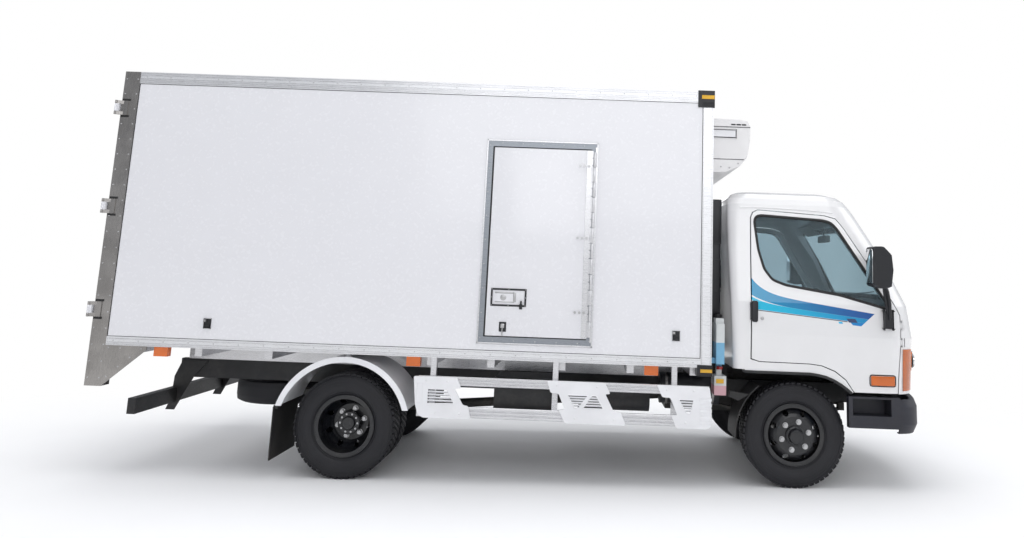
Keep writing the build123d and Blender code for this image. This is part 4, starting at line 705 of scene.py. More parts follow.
# Box: grooved edge rails, corner post beads, seams and screws
WIDE = 1058
for s, hand in SIDES:
    ribs = Shape()
    for z in (548, 562, 590, 2578, 2592, 2606, 2634, 2650):
        ribs.box(-1812, 2664, s * WIDE, s * (WIDE + 2.2), z - 3, z + 3, 1.0, 1)
    for x in (2672, 2739):
        ribs.box(x - 3, x + 3, s * WIDE, s * (WIDE + 2.2), 562, 2528, 1.0, 1)
    ribs.place(f"rail_beads_{hand}", "bright_rail", "chassis")
    seal = Shape()
    seal.box(-1810, 2664, s * 1055, s * 1056.4, 604, 609)
    seal.box(-1810, 2664, s * 1055, s * 1056.4, 2562, 2567)
    seal.box(2660, 2665, s * 1055, s * 1056.4, 604, 2567)
    seal.box(-1813, -1807, s * 1055, s * 1056.6, 604, 2567)
    seal.place(f"panel_sealant_{hand}", "seal_rubber", "chassis")
    rows = [((x, s * WIDE, z), (0, s, 0), FORWARD) for z in (576, 2620) for x in spread(-1760, 2610, 24)]
    grow(f"rail_rivets_{hand}", RIVETS, "zinc", "chassis", rows, {"Radius": 0.0048})
    # hold-back catches
    spots = [(2480, 765), (-1062, 725)] if s < 0 else [(-1062, 725)]
    catch = Shape()
    hook = Shape()
    for x, z in spots:
        y = s * 1055
        catch.box(x - 27, x + 27, y, y + s * 5, z - 36, z + 36, 3)
        catch.box(x - 22, x + 22, y + s * 4, y + s * 13, z - 30, z - 12, 3)
        hook.box(x - 26, x - 8, y + s * 5, y + s * 14, z + 13, z + 31, 3)
        hook.lathe([(0, 0), (0, 9), (s * 5, 8), (s * 6, 0)], (x - 17, y + s * 12, z + 22), LEFT, 16)
    catch.place(f"door_catches_{hand}", "black_plastic", "chassis")
    hook.place(f"door_catch_hooks_{hand}", "zinc", "chassis")

# Corner caps: rounded skins with ribs and bare yellow plates
for s, hand in SIDES:
    plates = Shape()
    plates.box(2652, 2751, s * 1064, s * 1067, 2598, 2628, 1.4)
    plates.box(2664, 2751, s * 1064, s * 1067, 506, 530, 1.4)
    plates.place(f"cap_plates_{hand}", "label_yellow", "chassis")
    ribs = Shape()
    for z in (2544, 2556, 2568):
        ribs.box(2660, 2750, s * 1063, s * 1066, z - 3, z + 3, 1.2, 1)
    for z in (486, 546):
        ribs.box(2650, 2750, s * 1063, s * 1066, z - 3, z + 3, 1.2, 1)
    ribs.prism([(2626, 2662), (2626, 2640), (2640, 2640), (2660, 2620), (2660, 2534), (2666, 2534), (2666, 2662)], "y",
               s * 1063, s * 1065.5, 1.0, 1)
    ribs.place(f"cap_ribs_{hand}", "black_plastic", "chassis")

# Side door: frame beads, gasket, hinge profile, lock and catch
door = Shape()
for x0, x1, z0, z1 in ((980, 990, 656, 2214), (1840, 1850, 656, 2214), (980, 1850, 656, 666), (980, 1850, 2204, 2214)):
    door.box(x0, x1, -1065, -1058, z0, z1, 1.5, 1)
door.place("side_frame_bead", "bright_rail", "chassis")
gasket = Shape()
for x0, x1, z0, z1 in ((1028, 1039, 708, 2162), (1797, 1802, 708, 2162), (1028, 1802, 708, 715), (1028, 1802, 2155, 2162)):
    gasket.box(x0, x1, -1059, -1040, z0, z1, 1.5, 1)
gasket.place("side_door_gasket", "seal_rubber", "chassis")
hinge_run = [((1807, -1062.5, z), RIGHT, UP) for z in spread(752, 2122, 24)]
grow("side_hinge_profile", BARS, "bright_rail", "chassis", hinge_run, {"Length": 0.052, "Width": 0.014, "Height": 0.006})
grow("side_frame_screws", RIVETS, "zinc", "chassis",
     [((x, -1060.2, z), RIGHT, UP) for x in (1004, 1828) for z in spread(700, 2170, 9)]
     + [((x, -1060.2, z), RIGHT, UP) for z in (682, 2188) for x in spread(1100, 1740, 5)], {"Radius": 0.0045})
lock_body = Shape()
lock_body.prism([(1078, 950), (1084, 944), (1327, 944), (1333, 950), (1333, 1056), (1327, 1062), (1084, 1062), (1078, 1056)], "y", -1046, -1042)
for x0, x1, z0, z1 in ((1070, 1084, 936, 1070), (1327, 1341, 936, 1070), (1070, 1341, 936, 950), (1070, 1341, 1056, 1070)):
    lock_body.box(x0, x1, -1066, -1058, z0, z1, 3)
lock_body.box(1262, 1326, -1058, -1042, 952, 1054, 3)
lock_body.place("side_lock_tray", "black_plastic", "side_door_leaf")
lock = Shape()
lock.box(1100, 1250, -1062, -1050, 1030, 1044, 4)
lock.box(1100, 1250, -1062, -1050, 962, 974, 4)
lock.box(1240, 1262, -1064, -1046, 968, 1040, 5)
lock.lathe([(0, 0), (0, 30), (-8, 28), (-12, 18), (-14, 0)], (1165, -1050, 1002), LEFT, 28)
lock.lathe([(0, 0), (0, 9), (-10, 8), (-11, 0)], (1302, -1058, 970), LEFT, 18)
lock.place("side_lock_handle", "zinc", "side_door_leaf")
grow("side_lock_screws", RIVETS, "zinc", "side_door_leaf",
     [((x, -1066.5, z), RIGHT, UP) for x in (1078, 1334) for z in (943, 1003, 1063)] + [((1206, -1066.5, z), RIGHT, UP) for z in (943, 1063)],
     {"Radius": 0.004})
key = Shape()
key.lathe([(0, 0), (0, 7), (-14, 7), (-15, 0)], (1302, -1064, 972), LEFT, 14)
key.prism([(1290, 918), (1314, 918), (1312, 958), (1304, 966), (1300, 966), (1292, 958)], "y", -1078, -1072, 1.2)
key.box(1296, 1308, -1076, -1068, 956, 980, 2)
key.place("side_lock_key", "black_plastic", "side_door_leaf")
catch = Shape()
catch.box(1144, 1198, -1065, -1060, 748, 820, 3)
catch.place("leaf_catch_plate", "black_plastic", "side_door_leaf")
catch = Shape()
catch.box(1157, 1185, -1076, -1064, 776, 808, 4)
catch.tube([(1171, -1072, 780), (1169, -1073, 740), (1168, -1071, 716)], 4, 8)
catch.place("leaf_catch_hook", "zinc", "side_door_leaf")
grow("side_strap_bolts", BOLTS, "zinc", "side_door_leaf",
     [((x, -1075, z + 30), RIGHT, UP) for z in (880, 1440, 2000) for x in (1712, 1746, 1780)],
     {"Washer Radius": 0.010, "Head Radius": 0.0075, "Head Height": 0.005, "Washer Height": 0.0015})

# Rear frame and doors: rivets, gaskets, strap bolts, cams and handles
frame_rivets = [((x, s * WIDE, z), (0, s, 0), UP) for s, _ in SIDES for x in (-1918, -1830) for z in spread(300, 2600, 20)]
frame_rivets += [((-1936, s * y, z), BACK, UP) for s, _ in SIDES for y in (975, 1036) for z in spread(300, 2600, 20)
                 if not any(abs(z - (h + 30)) < 60 for h in (772, 1555, 2333))]
frame_rivets += [((-1936, y, z), BACK, UP) for z in (2575, 2640) for y in spread(-880, 880, 14)]
frame_rivets += [((-1936, y, 590), BACK, UP) for y in spread(-900, 900, 14)]
frame_rivets += [((x, s * WIDE, z), (0, s, 0), UP) for s, _ in SIDES for x, z in ((-1780, 310), (-1700, 385), (-1620, 455), (-1540, 522), (-1700, 522), (-1790, 522))]
grow("rear_frame_rivets", RIVETS, "zinc", "chassis", frame_rivets, {"Radius": 0.0060})
notches = Shape()
for s, hand in SIDES:
    for z in (772, 1555, 2333):
        notches.box(-1932, -1868, s * WIDE, s * (WIDE + 1.5), z - 44, z - 28, 0.6, 1)
        notches.box(-1932, -1868, s * WIDE, s * (WIDE + 1.5), z + 88, z + 104, 0.6, 1)
notches.place("hinge_notch_edges", "seal_rubber", "chassis")
for s, hand in SIDES:
    body = f"back_door_{hand}"
    gasket = Shape()
    low, high, inner, outer = 622, 2538, s * 11, s * 942
    for y0, y1, z0, z1 in ((inner, inner + s * 16, low, high), (outer - s * 16, outer, low, high), (inner, outer, low, low + 16),
                           (inner, outer, high - 16, high)):
        gasket.box(-1946, -1940, y0, y1, z0, z1, 2, 1)
    gasket.place(f"back_door_gasket_{hand}", "seal_rubber", body)
    grow(f"back_strap_bolts_{hand}", BOLTS, "zinc", body,
         [((-1950, s * y, z + 30), BACK, UP) for z in (772, 1555, 2333) for y in (806, 850, 894, 938)],
         {"Washer Radius": 0.012, "Head Radius": 0.009, "Head Height": 0.007, "Washer Height": 0.002})
    cams = Shape()
    keeps = Shape()
    for y in (150, 690):
        for z, way in ((640, -1), (2520, 1)):
            cams.lathe([(0, 0), (0, 15.5), (30, 15.5), (32, 13), (32, 0)], (-1958, s * y, z - 16), UP, 20)
            cams.box(-1974, -1940, s * y - 9, s * y + 9, z - 10, z + 14, 3)
            keeps.box(-1950, -1942, s * y - 44, s * y + 44, z - 28, z + 28, 3)
        for z in (700, 1050, 1900, 2450):
            cams.lathe([(0, 12), (4, 15.5), (26, 15.5), (30, 12)], (-1958, s * y, z + 2), UP, 20, closed=True)
    cams.place(f"lock_cams_{hand}", "zinc", body)
    keeps.place(f"lock_keeps_{hand}", "stainless", body)
    handle = Shape()
    for y in (150, 690):
        start = s * y
        reach = s * (y + 188)
        handle.tube([(-1966, start, 1246), (-1974, start + s * 30, 1246), (-1974, reach - s * 26, 1246), (-1970, reach, 1246)], 8, 12, flat=1.2)
        handle.box(-1980, -1950, reach - s * 24, reach + s * 10, 1222, 1270, 4)
        handle.box(-1956, -1942, reach - s * 44, reach + s * 30, 1204, 1288, 4)
    handle.place(f"lock_handles_{hand}", "stainless", body)
    grow(f"lock_guide_bolts_{hand}", BOLTS, "zinc", body,
         [((-1970, s * (y + dy), z + 17), BACK, UP) for y in (150, 690) for dy in (-23, 23) for z in (700, 1050, 1900, 2450)],
         {"Washer Radius": 0.008, "Head Radius": 0.006, "Head Height": 0.005, "Washer Height": 0.0015})
lamps = Shape()
glow = Shape()
white = Shape()
for s, hand in SIDES:
    for y, target in ((430, white), (560, lamps), (690, glow)):
        target.box(-1953, -1949, s * (y + 6), s * (y + 104), 476, 554, 3)
    lamps.box(-1953, -1949, s * 560, s * 562, 476, 554)
lamps.place("tail_lens_red", "red_lens", "chassis")
glow.place("tail_lens_amber", "amber_lens", "chassis")
white.place("tail_lens_clear", "clear_lens", "chassis")
plate = Shape()
plate.box(-1944, -1937, -260, 260, 462, 574, 4)
plate.place("plate_holder", "black_plastic", "chassis")
plate = Shape()
plate.box(-1947, -1943, -250, 250, 470, 566, 2)
plate.place("blank_plate", "white_trim", "chassis")


# Side door leaf with its full-length hinge, and the back hinges' fixed halves
leaf = Shape()
leaf.box(1040, 1796, -1060, -979, 716, 2154, 3)
leaf.place("side_leaf_panel", "gloss_panel", "side_door_leaf", stands_for=["side_door"])
plate = Shape()
plate.box(1764, 1806, -1065, -1060, 718, 2152, 1.2, 1)
plate.place("side_hinge_leaf_plate", "bright_rail", "side_door_leaf")
plate = Shape()
plate.box(1830, 1850, -1067, -1060, 690, 2180, 1.2, 1)
plate.place("side_hinge_frame_plate", "bright_rail", "chassis")
segments = 12
pitch = (2140 - 730) / segments
for parity, body in ((0, "side_door_leaf"), (1, "chassis")):
    barrels = Shape()
    for i in range(parity, segments, 2):
        z = 730 + i * pitch
        barrels.lathe([(0, 0), (0, 8), (2, 9), (pitch - 6, 9), (pitch - 4, 8), (pitch - 4, 0)], (1825, -1080, z), UP, 16)
        if parity:
            barrels.prism([(1825, -1088), (1829, -1086), (1842, -1066), (1834, -1064), (1821, -1079)], "z", z + 2, z + pitch - 6)
        else:
            barrels.prism([(1825, -1088), (1819, -1086), (1798, -1064), (1806, -1062), (1829, -1079)], "z", z + 2, z + pitch - 6)
    barrels.place(f"side_hinge_barrels_{parity + 1}", "bright_rail", body, stands_for=["side_door"] if parity == 0 else ())
ears = Shape()
for s, hand in SIDES:
    for z in (772, 1555, 2333):
        for z0 in (z - 26.5, z + 60.5):
            ears.lathe([(0, 0), (0, 8), (1.5, 9), (24.5, 9), (26, 8), (26, 0)], (-1966, s * 1082, z0), UP, 16)
            ears.prism([(-1966, s * 1073), (-1957, s * 1082), (-1916, s * 1063), (-1916, s * 1058), (-1944, s * 1058)], "z", z0, z0 + 26)
        ears.box(-1932, -1880, s * WIDE, s * (WIDE + 4.6), z - 27, z + 87, 1.5, 1)
ears.place("back_hinge_ears", "stainless", "chassis", stands_for=["box_hinges"])

# Refrigeration unit: lid, slots, blank plate, belly pan, fan guards and pipes
fridge_side = [(2746, 2062), (2900, 2070), (3010, 2120), (3076, 2200), (3098, 2330), (3100, 2452), (3080, 2492), (3020, 2506), (2746, 2512)]


def unit_front(z):
    for (xa, za), (xb, zb) in zip(fridge_side, fridge_side[1:]):
        if za <= z <= zb:
            return xa + (xb - xa) * (z - za) / (zb - za)
    return 3090


lid = Shape()
for s in (-1, 1):
    lid.prism([(2750, 2440), (3099, 2440), (3099, 2446), (2750, 2446)], "y", s * 750, s * 753, 0.8, 1)
    lid.prism([(2750, 2170), (3050, 2170), (3054, 2176), (2750, 2176)], "y", s * 750, s * 752, 0.8, 1)
lid.box(3092, 3102, -745, 745, 2440, 2446, 1, 1)
lid.place("fridge_lid_seam", "trim_plastic", "chassis")
slots = []
for s in (-1, 1):
    slots += [((x, s * 750.5, 2464), (0, s, 0), FORWARD) for x in (2960, 3004, 3048)]
slots += [((3096, y, 2466), FORWARD, LEFT) for y in spread(-660, 660, 16)]
grow("fridge_air_slots", BARS, "seal_rubber", "chassis", slots, {"Length": 0.036, "Width": 0.011, "Height": 0.004})
pan = Shape()
pan.prism([(2750, 2060), (2900, 2066), (3012, 2116), (3070, 2188), (3064, 2190), (3002, 2126), (2896, 2078), (2750, 2072)], "y", -752, 752, 1.5, 1)
pan.place("fridge_belly_pan", "fridge_white", "chassis")
pan_screws = [((x, s * 752.4, z), (0, s, 0), FORWARD) for s in (-1, 1) for x, z in ((2790, 2090), (2860, 2110), (2930, 2104), (3000, 2140))]
grow("fridge_screws", RIVETS, "zinc", "chassis", pan_screws, {"Radius": 0.007})
for s, hand in SIDES:
    plate = Shape()
    plate.box(2770, 2985, s * 750, s * 753, 2352, 2420, 5, 2)
    plate.place(f"fridge_plate_frame_{hand}", "trim_plastic", "chassis")
    plate = Shape()
    plate.box(2777, 2978, s * 752, s * 754.5, 2358, 2414, 4, 2)
    plate.place(f"fridge_plate_{hand}", "white_trim", "chassis")
guards = Shape()
fans = Shape()
for y in (-340, 340):
    for radius in (34, 62, 90, 118, 148):
        ring = [(unit_front(2300 + radius * math.sin(a)) + 4, y + radius * math.cos(a), 2300 + radius * math.sin(a)) for a in
                [2 * math.pi * k / 40 for k in range(40)]]
        guards.tube(ring, 2.6 if radius < 148 else 5, 6, closed=True, about=(1, 0, 0))
    for k in range(6):
        a = math.pi * k / 3
        guards.tube([(unit_front(2300 + r * math.sin(a)) + 6, y + r * math.cos(a), 2300 + r * math.sin(a)) for r in (20, 60, 105, 150)], 3, 6)
    fans.lathe([(0, 0), (0, 30), (6, 42), (36, 42), (38, 0)], (3040, y, 2300), FORWARD, 24)
    for k in range(7):
        a = 2 * math.pi * k / 7
        u, v = Vector((0, math.cos(a), math.sin(a))), Vector((0, -math.sin(a), math.cos(a)))
        hub = Vector((3060, y, 2300))
        corners = [hub + u * 36 - v * 10, hub + u * 138 - v * 30, hub + u * 140 + v * 26, hub + u * 36 + v * 16]
        shift = [Vector((12, 0, 0)), Vector((16, 0, 0)), Vector((-10, 0, 0)), Vector((-6, 0, 0))]
        low = [fans.bm.verts.new(c + d) for c, d in zip(corners, shift)]
        high = [fans.bm.verts.new(c + d + Vector((3, 0, 0))) for c, d in zip(corners, shift)]
        fans.bm.faces.new(low)
        fans.bm.faces.new(list(reversed(high)))
        for m in range(4):
            n = (m + 1) % 4
            fans.bm.faces.new((low[m], high[m], high[n], low[n]))
guards.place("fan_guards", "frame_black", "chassis")
fans.place("fan_blades", "black_plastic", "chassis")
pipes = Shape()
pipes.tube([(2752, 560, 2070), (2760, 560, 2040), (2758, 560, 1500), (2758, 556, 900), (2760, 540, 640), (2790, 470, 560)], 15, 12)
pipes.tube([(2752, 610, 2070), (2760, 610, 2040), (2756, 612, 1500), (2756, 608, 900), (2758, 590, 660), (2780, 500, 590)], 10, 12)
pipes.place("fridge_pipes", "seal_rubber", "chassis")
clips = Shape()
for z in (700, 1000, 1300, 1600, 1900):
    clips.box(2748, 2778, 538, 628, z, z + 16, 4)
clips.place("fridge_pipe_clips", "zinc", "chassis")

# Cab side: window seal, handle, lock, marker, trims inside the doors
window_points = [
    (3104, 1660), (3116, 1694), (3150, 1706), (3640, 1682), (3700, 1666), (3742, 1620), (4092, 1056), (4096, 1030),
    (4070, 1030), (3736, 1116), (3330, 1176), (3230, 1212), (3170, 1290), (3128, 1437)]


def denser(outline, step):
    """The outline with points added along its runs, at most a step apart."""
    made = []
    for (xa, za), (xb, zb) in zip(outline, outline[1:] + outline[:1]):
        count = max(1, round(math.hypot(xb - xa, zb - za) / step))
        made += [(xa + (xb - xa) * k / count, za + (zb - za) * k / count) for k in range(count)]
    return made


def rounded(outline, reach):
    """The outline with each corner cut by a three-point round."""
    made = []
    count = len(outline)
    for i, here in enumerate(outline):
        here = Vector(here)
        before, after = Vector(outline[i - 1]), Vector(outline[(i + 1) % count])
        a = here + (before - here).normalized() * min(reach, (before - here).length * 0.4)
        b = here + (after - here).normalized() * min(reach, (after - here).length * 0.4)
        made += [tuple(a), tuple(a * 0.25 + here * 0.5 + b * 0.25), tuple(b)]
    return made


def grown(outline, by):
    """The outline pushed outwards."""
    count = len(outline)
    area = sum(outline[i][0] * outline[(i + 1) % count][1] - outline[(i + 1) % count][0] * outline[i][1] for i in range(count))
    turn = 1 if area > 0 else -1
    made = []
    for i, here in enumerate(outline):
        before, after = Vector(outline[i - 1]), Vector(outline[(i + 1) % count])
        run = (after - before).normalized()
        made.append((here[0] + turn * run.y * by, here[1] - turn * run.x * by))
    return made


for s, hand in SIDES:
    door_skin = Skin(f"cab_door_{hand}")
    wall = Skin(f"cab_door_{hand}", "cab_front", "cab_rear", "cab_roof")
    body = f"door_{hand}"
    line = rounded(denser(window_points, 300), 22)
    seal = Shape()
    path = [door_skin.side(x, z, s, 1.0) for x, z in grown(line, 6)]
    path = [p for p in path if abs(p[1]) > 820]
    seal.tube(path, 8.5, 8, closed=True, flat=0.6, about=(0, 1, 0))
    inner = [(x, y - s * 9, z) for x, y, z in [door_skin.side(x, z, s, 0) for x, z in grown(line, 5)] if abs(y) > 820]
    seal.tube([(x + (3600 - x) * 0.012, y, z + (1400 - z) * 0.02) for x, y, z in inner], 7, 6, closed=True, about=(0, 1, 0))
    seal.place(f"window_seal_{hand}", "seal_rubber", body)
    grip = Shape()
    y = abs(door_skin.side(3085, 965, s)[1])
    grip.prism([(3062, 900), (3068, 888), (3098, 886), (3108, 896), (3110, 1034), (3102, 1046), (3070, 1046), (3062, 1036)], "y",
               s * (y - 12), s * (y + 7), 5, 3)
    grip.box(3050, 3068, s * (y - 14), s * (y + 2), 906, 1030, 5, 2)
    grip.place(f"door_grip_{hand}", "black_plastic", body)
    barrel = Shape()
    barrel.lathe([(0, 0), (0, 13), (s * 3, 12), (s * 4.5, 9), (s * 4.6, 0)], (3141, s * (y - 2) * 1.0015, 916), LEFT, 24)
    barrel.place(f"door_lock_{hand}", "zinc", body)
    marker = Shape()
    low, high = door_skin.side(3975, 488, s)[1], door_skin.side(4126, 484, s)[1]
    outline = [(3958, s * (abs(low) - 10)), (4140, s * (abs(high) - 14)), (4138, s * (abs(high) + 4)), (4050, s * (abs(door_skin.side(4050, 486, s)[1]) + 5)),
               (3962, s * (abs(low) + 4))]
    marker.prism(outline, "z", 452, 522, 6, 3)
    marker.place(f"door_marker_{hand}", "amber_lens", body)
    rim = Shape()
    ring = rounded([(3952, 446), (4146, 446), (4146, 528), (3952, 528)], 16)
    path = [wall.side(x, z, s, 0.5) for x, z in ring]
    rim.tube(path, 4.5, 6, closed=True, about=(0, 1, 0))
    rim.place(f"door_marker_rim_{hand}", "seal_rubber", body)
    # trim panel, arm rest, winder and pocket inside the door
    trim = Shape()
    inside = abs(door_skin.side(3600, 800, s)[1]) - 58
    trim.prism([(3110, 640), (3600, 636), (3760, 560), (3860, 470), (4130, 470), (4160, 760), (4160, 960), (3740, 1070), (3330, 1130), (3180, 1150),
                (3110, 1150)], "y", s * (inside - 12), s * inside, 4, 2)
    trim.box(3250, 3700, s * (inside - 70), s * (inside - 8), 880, 925, 16, 3)
    trim.prism([(3860, 500), (4120, 500), (4130, 640), (3820, 640)], "y", s * (inside - 44), s * (inside - 8), 8, 2)
    trim.place(f"door_trim_{hand}", "trim_plastic", body)
    winder = Shape()
    winder.lathe([(0, 0), (0, 24), (s * -10, 22), (s * -14, 12), (s * -16, 0)], (3820, s * (inside - 10), 800), LEFT, 24)
    winder.tube([(3820, s * (inside - 24), 800), (3770, s * (inside - 34), 840), (3740, s * (inside - 36), 860)], 8, 8)
    winder.lathe([(0, 0), (0, 12), (s * -26, 14), (s * -28, 0)], (3740, s * (inside - 34), 860), LEFT, 18)
    winder.place(f"window_winder_{hand}", "black_plastic", body)
    # mirror: glass, housing and bracket
    pane = Shape()
    pane.prism([(s * 1092, 1212), (s * 1218, 1212), (s * 1222, 1450), (s * 1206, 1464), (s * 1104, 1464), (s * 1090, 1450)], "x", 3904, 3912, 3, 2)
    pane.place(f"mirror_glass_{hand}", "mirror_silver", body)
    shell = Shape()
    shell.prism([(3905, 1192), (3990, 1172), (4044, 1186), (4061, 1310), (4051, 1424), (3992, 1485), (3918, 1482), (3906, 1466)], "y",
                s * 1078, s * 1229.5, 16, 4)
    shell.place(f"mirror_shell_{hand}", "black_plastic", body)
    arm = Shape()
    base_y = abs(wall.side(4092, 960, s)[1])
    arm.tube([(4092, s * (base_y + 6), 905), (4096, s * (base_y + 40), 960), (4088, s * (base_y + 66), 1060), (4060, s * 1094, 1150), (4026, s * 1112, 1216)], 13, 12)
    arm.box(4060, 4126, s * (base_y - 14), s * (base_y + 30), 876, 1004, 14, 3)
    arm.place(f"mirror_arm_{hand}", "black_plastic", body)
    # drip rail
    drip = Shape()
    path = [wall.side(x, z, s, 2.0) for x, z in [(2990, 1766), (3100, 1772), (3300, 1770), (3500, 1764), (3640, 1756), (3720, 1748)]]
    drip.tube(path, 5, 6, about=(0, 1, 0))
    drip.place(f"roof_drip_{hand}", "cab_paint", "cab")


# Side guards: grooved rails, posts and louvred panels
def grooved(low, high, s, inner, outer, grooves=2):
    """Section of an extruded rail whose outer face carries grooves."""
    line = [(s * inner, low), (s * (outer - 4), low), (s * outer, low + 4)]
    step = (high - low) / (grooves + 1)
    for k in range(1, grooves + 1):
        z = low + k * step
        line += [(s * outer, z - 6), (s * (outer - 5), z - 3), (s * (outer - 5), z + 3), (s * outer, z + 6)]
    return line + [(s * outer, high - 4), (s * (outer - 4), high), (s * inner, high)]


def plate_with_holes(shape, outline, holes, y0, y1):
    """A flat plate in the side plane with cut windows."""
    loops = [outline] + holes
    flat = [[Vector((x, 0, z)) for x, z in loop] for loop in loops]
    spots = [p for loop in flat for p in loop]
    bottom = [shape.bm.verts.new((p.x, y0, p.z)) for p in spots]
    top = [shape.bm.verts.new((p.x, y1, p.z)) for p in spots]
    for tri in tessellate_polygon(flat):
        shape.bm.faces.new([bottom[i] for i in tri])
        shape.bm.faces.new([top[i] for i in reversed(tri)])
    start = 0
    for loop in loops:
        for i in range(len(loop)):
            a, b = start + i, start + (i + 1) % len(loop)
            shape.bm.faces.new((bottom[a], top[a], top[b], bottom[b]))
        start += len(loop)


def width_at(loop, z):
    hits = []
    for (xa, za), (xb, zb) in zip(loop, loop[1:] + loop[:1]):
        if za != zb and min(za, zb) <= z <= max(za, zb):
            hits.append(xa + (xb - xa) * (z - za) / (zb - za))
    return (min(hits), max(hits)) if len(hits) > 1 else None


panel_shapes = [
    ("rear", [(526, 400), (850, 400), (886, 322), (836, 320), (905, 203), (944, 198), (968, 106), (612, 104), (572, 126), (548, 200)],
     [[(636, 312), (780, 312), (838, 212), (636, 206)]]),
    ("middle", [(1524, 404), (1957, 404), (2000, 323), (1962, 322), (2026, 202), (2080, 197), (2122, 103), (1668, 103), (1618, 199), (1664, 201),
                (1612, 314), (1554, 316)],
     [[(1680, 306), (1834, 306), (1766, 214), (1734, 214)], [(1860, 306), (1896, 306), (1950, 214), (1796, 214)]]),
    ("front", [(2345, 404), (2736, 404), (2748, 330), (2756, 128), (2720, 98), (2493, 98), (2453, 192), (2500, 190), (2446, 314), (2385, 316)],
     [[(2508, 304), (2622, 304), (2596, 206), (2566, 206)]])]
for s, hand in SIDES:
    rails = Shape()
    for x0, x1, z0, z1 in ((560, 2736, 338, 403), (560, 2736, 110, 188)):
        rails.prism(grooved(z0, z1, s, 1018, 1040), "x", x0, x1)
    rails.place(f"guard_rails_{hand}", "bright_rail", "chassis", stands_for=["side_guards"] if s == 1 else ())
    posts = Shape()
    for x in (640, 1560, 2452):
        posts.box(x + 4, x + 46, s * 982, s * 1018, 120, 539.7, 3)
    posts.place(f"guard_posts_{hand}", "bright_rail", "chassis")
    panels = Shape()
    for _, outline, holes in panel_shapes:
        plate_with_holes(panels, rounded(outline, 12), [rounded(hole, 6) for hole in holes], s * 1040.4, s * 1051)
        for hole in holes:
            panels.tube([(x, s * 1050, z) for x, z in rounded(hole, 6)], 4.5, 6, closed=True, about=(0, 1, 0))
            high, low = max(z for _, z in hole), min(z for _, z in hole)
            for k in range(1, 5):
                z = high - (high - low) * k / 5
                span = width_at(hole, z)
                if span and span[1] - span[0] > 12:
                    x0, x1 = span
                    panels.prism([(s * 1036, z - 9), (s * 1049, z + 1), (s * 1049, z + 8), (s * 1036, z - 2)], "x", x0 - 3, x1 + 3)
    for k in range(5):
        z = 300 - 40 * k
        panels.box(2668, 2754, s * 1046, s * 1052, z, z + 20, 2.5, 2)
    panels.box(556, 600, s * 1046, s * 1051.8, 216, 352, 3, 2)
    panels.place(f"guard_panels_{hand}", "guard_white", "chassis", stands_for=["skirt_panels"] if s == 1 else ())
    bolts = [((x, s * 1051.5, z), (0, s, 0), FORWARD) for x, z in
             ((620, 372), (780, 372), (700, 142), (880, 142), (1600, 372), (1900, 372), (1740, 142), (2030, 142), (2420, 372), (2620, 372), (2560, 142))]
    grow(f"guard_screws_{hand}", RIVETS, "guard_white", "chassis", bolts, {"Radius": 0.008})

# Seats: crowned cushions with sewn channels on steel frames
def cushion(shape, outline, low, high, crown=0.05, channels=(-0.5, 0.5), rings=22, dip=0.035):
    """Lofts a closed padded form: sides pull in, crown in the middle, sewn channels across."""
    line = rounded(rounded(denser(outline, 60), 30), 10)
    cx = sum(x for x, _ in line) / len(line)
    cz = sum(z for _, z in line) / len(line)
    middle, half = (low + high) / 2, (high - low) / 2
    loops = []
    for k in range(rings + 1):
        t = -1 + 2 * k / rings
        t = math.copysign(abs(t) ** 0.75, t) if t else 0.0
        size = (1 - abs(t) ** 7) ** 0.45 * (1 - crown * t * t) if abs(t) < 1 else 0.0
        for channel in channels:
            size -= dip * math.exp(-((t - channel) / 0.05) ** 2)
        size = max(size, 0.02)
        loops.append([shape.bm.verts.new((cx + (x - cx) * size, middle + half * t, cz + (z - cz) * size)) for x, z in line])
    count = len(line)
    for a, b in zip(loops, loops[1:]):
        for i in range(count):
            j = (i + 1) % count
            shape.bm.faces.new((a[i], b[i], b[j], a[j]))
    for end in (loops[0], loops[-1]):
        shape.bm.faces.new(end)


seat_rows = [("left", 230, 700), ("middle", -180, 230), ("right", -700, -250)]
cushion_line = [(3080, 762), (3540, 780), (3560, 830), (3520, 880), (3170, 862), (3080, 850)]
back_line = [(3070, 850), (3180, 850), (3130, 1400), (3050, 1400), (3020, 1380)]
rest_line = [(3042, 1426), (3118, 1426), (3112, 1566), (3052, 1566)]
frames = Shape()
for place, low, high in seat_rows:
    narrow = 14
    if place == "middle":
        low, high, narrow = -225, 205, 24
    pad = Shape()
    cushion(pad, cushion_line, low, high)
    pad.place(f"seat_cushion_{place}", "seat_cloth", "cab", smooth=60, stands_for=["seats"] if place == "left" else ())
    pad = Shape()
    cushion(pad, back_line, low + narrow, high - narrow, 0.06, (-0.55, 0.55))
    pad.place(f"seat_back_{place}", "seat_cloth", "cab", smooth=60)
    middle = (low + high) / 2
    if place != "middle":
        pad = Shape()
        cushion(pad, rest_line, middle - 125, middle + 125, 0.04, (), 16)
        pad.place(f"head_rest_{place}", "seat_vinyl", "cab", smooth=60)
        for y in (middle - 50, middle + 50):
            frames.lathe([(0, 0), (0, 7), (60, 7), (60, 0)], (3080, y, 1384), UP, 14)
    if place != "middle":
        s = 1 if middle > 0 else -1
        for z in (600, 690):
            frames.box(3100, 3500, s * 350, s * 366, z, z + 70, 4)
            frames.box(3100, 3500, s * 660, s * 676, z, z + 70, 4)
        frames.box(3090, 3520, s * 345, s * 680, 748, 768, 6)
        frames.box(3100, 3490, s * 330, s * 348, 592, 606, 3)
        frames.box(3100, 3490, s * 676, s * 694, 592, 606, 3)
    else:
        frames.box(3100, 3500, -200, 160, 742, 768, 8)
frames.place("seat_frames", "frame_black", "cab")
belts = Shape()
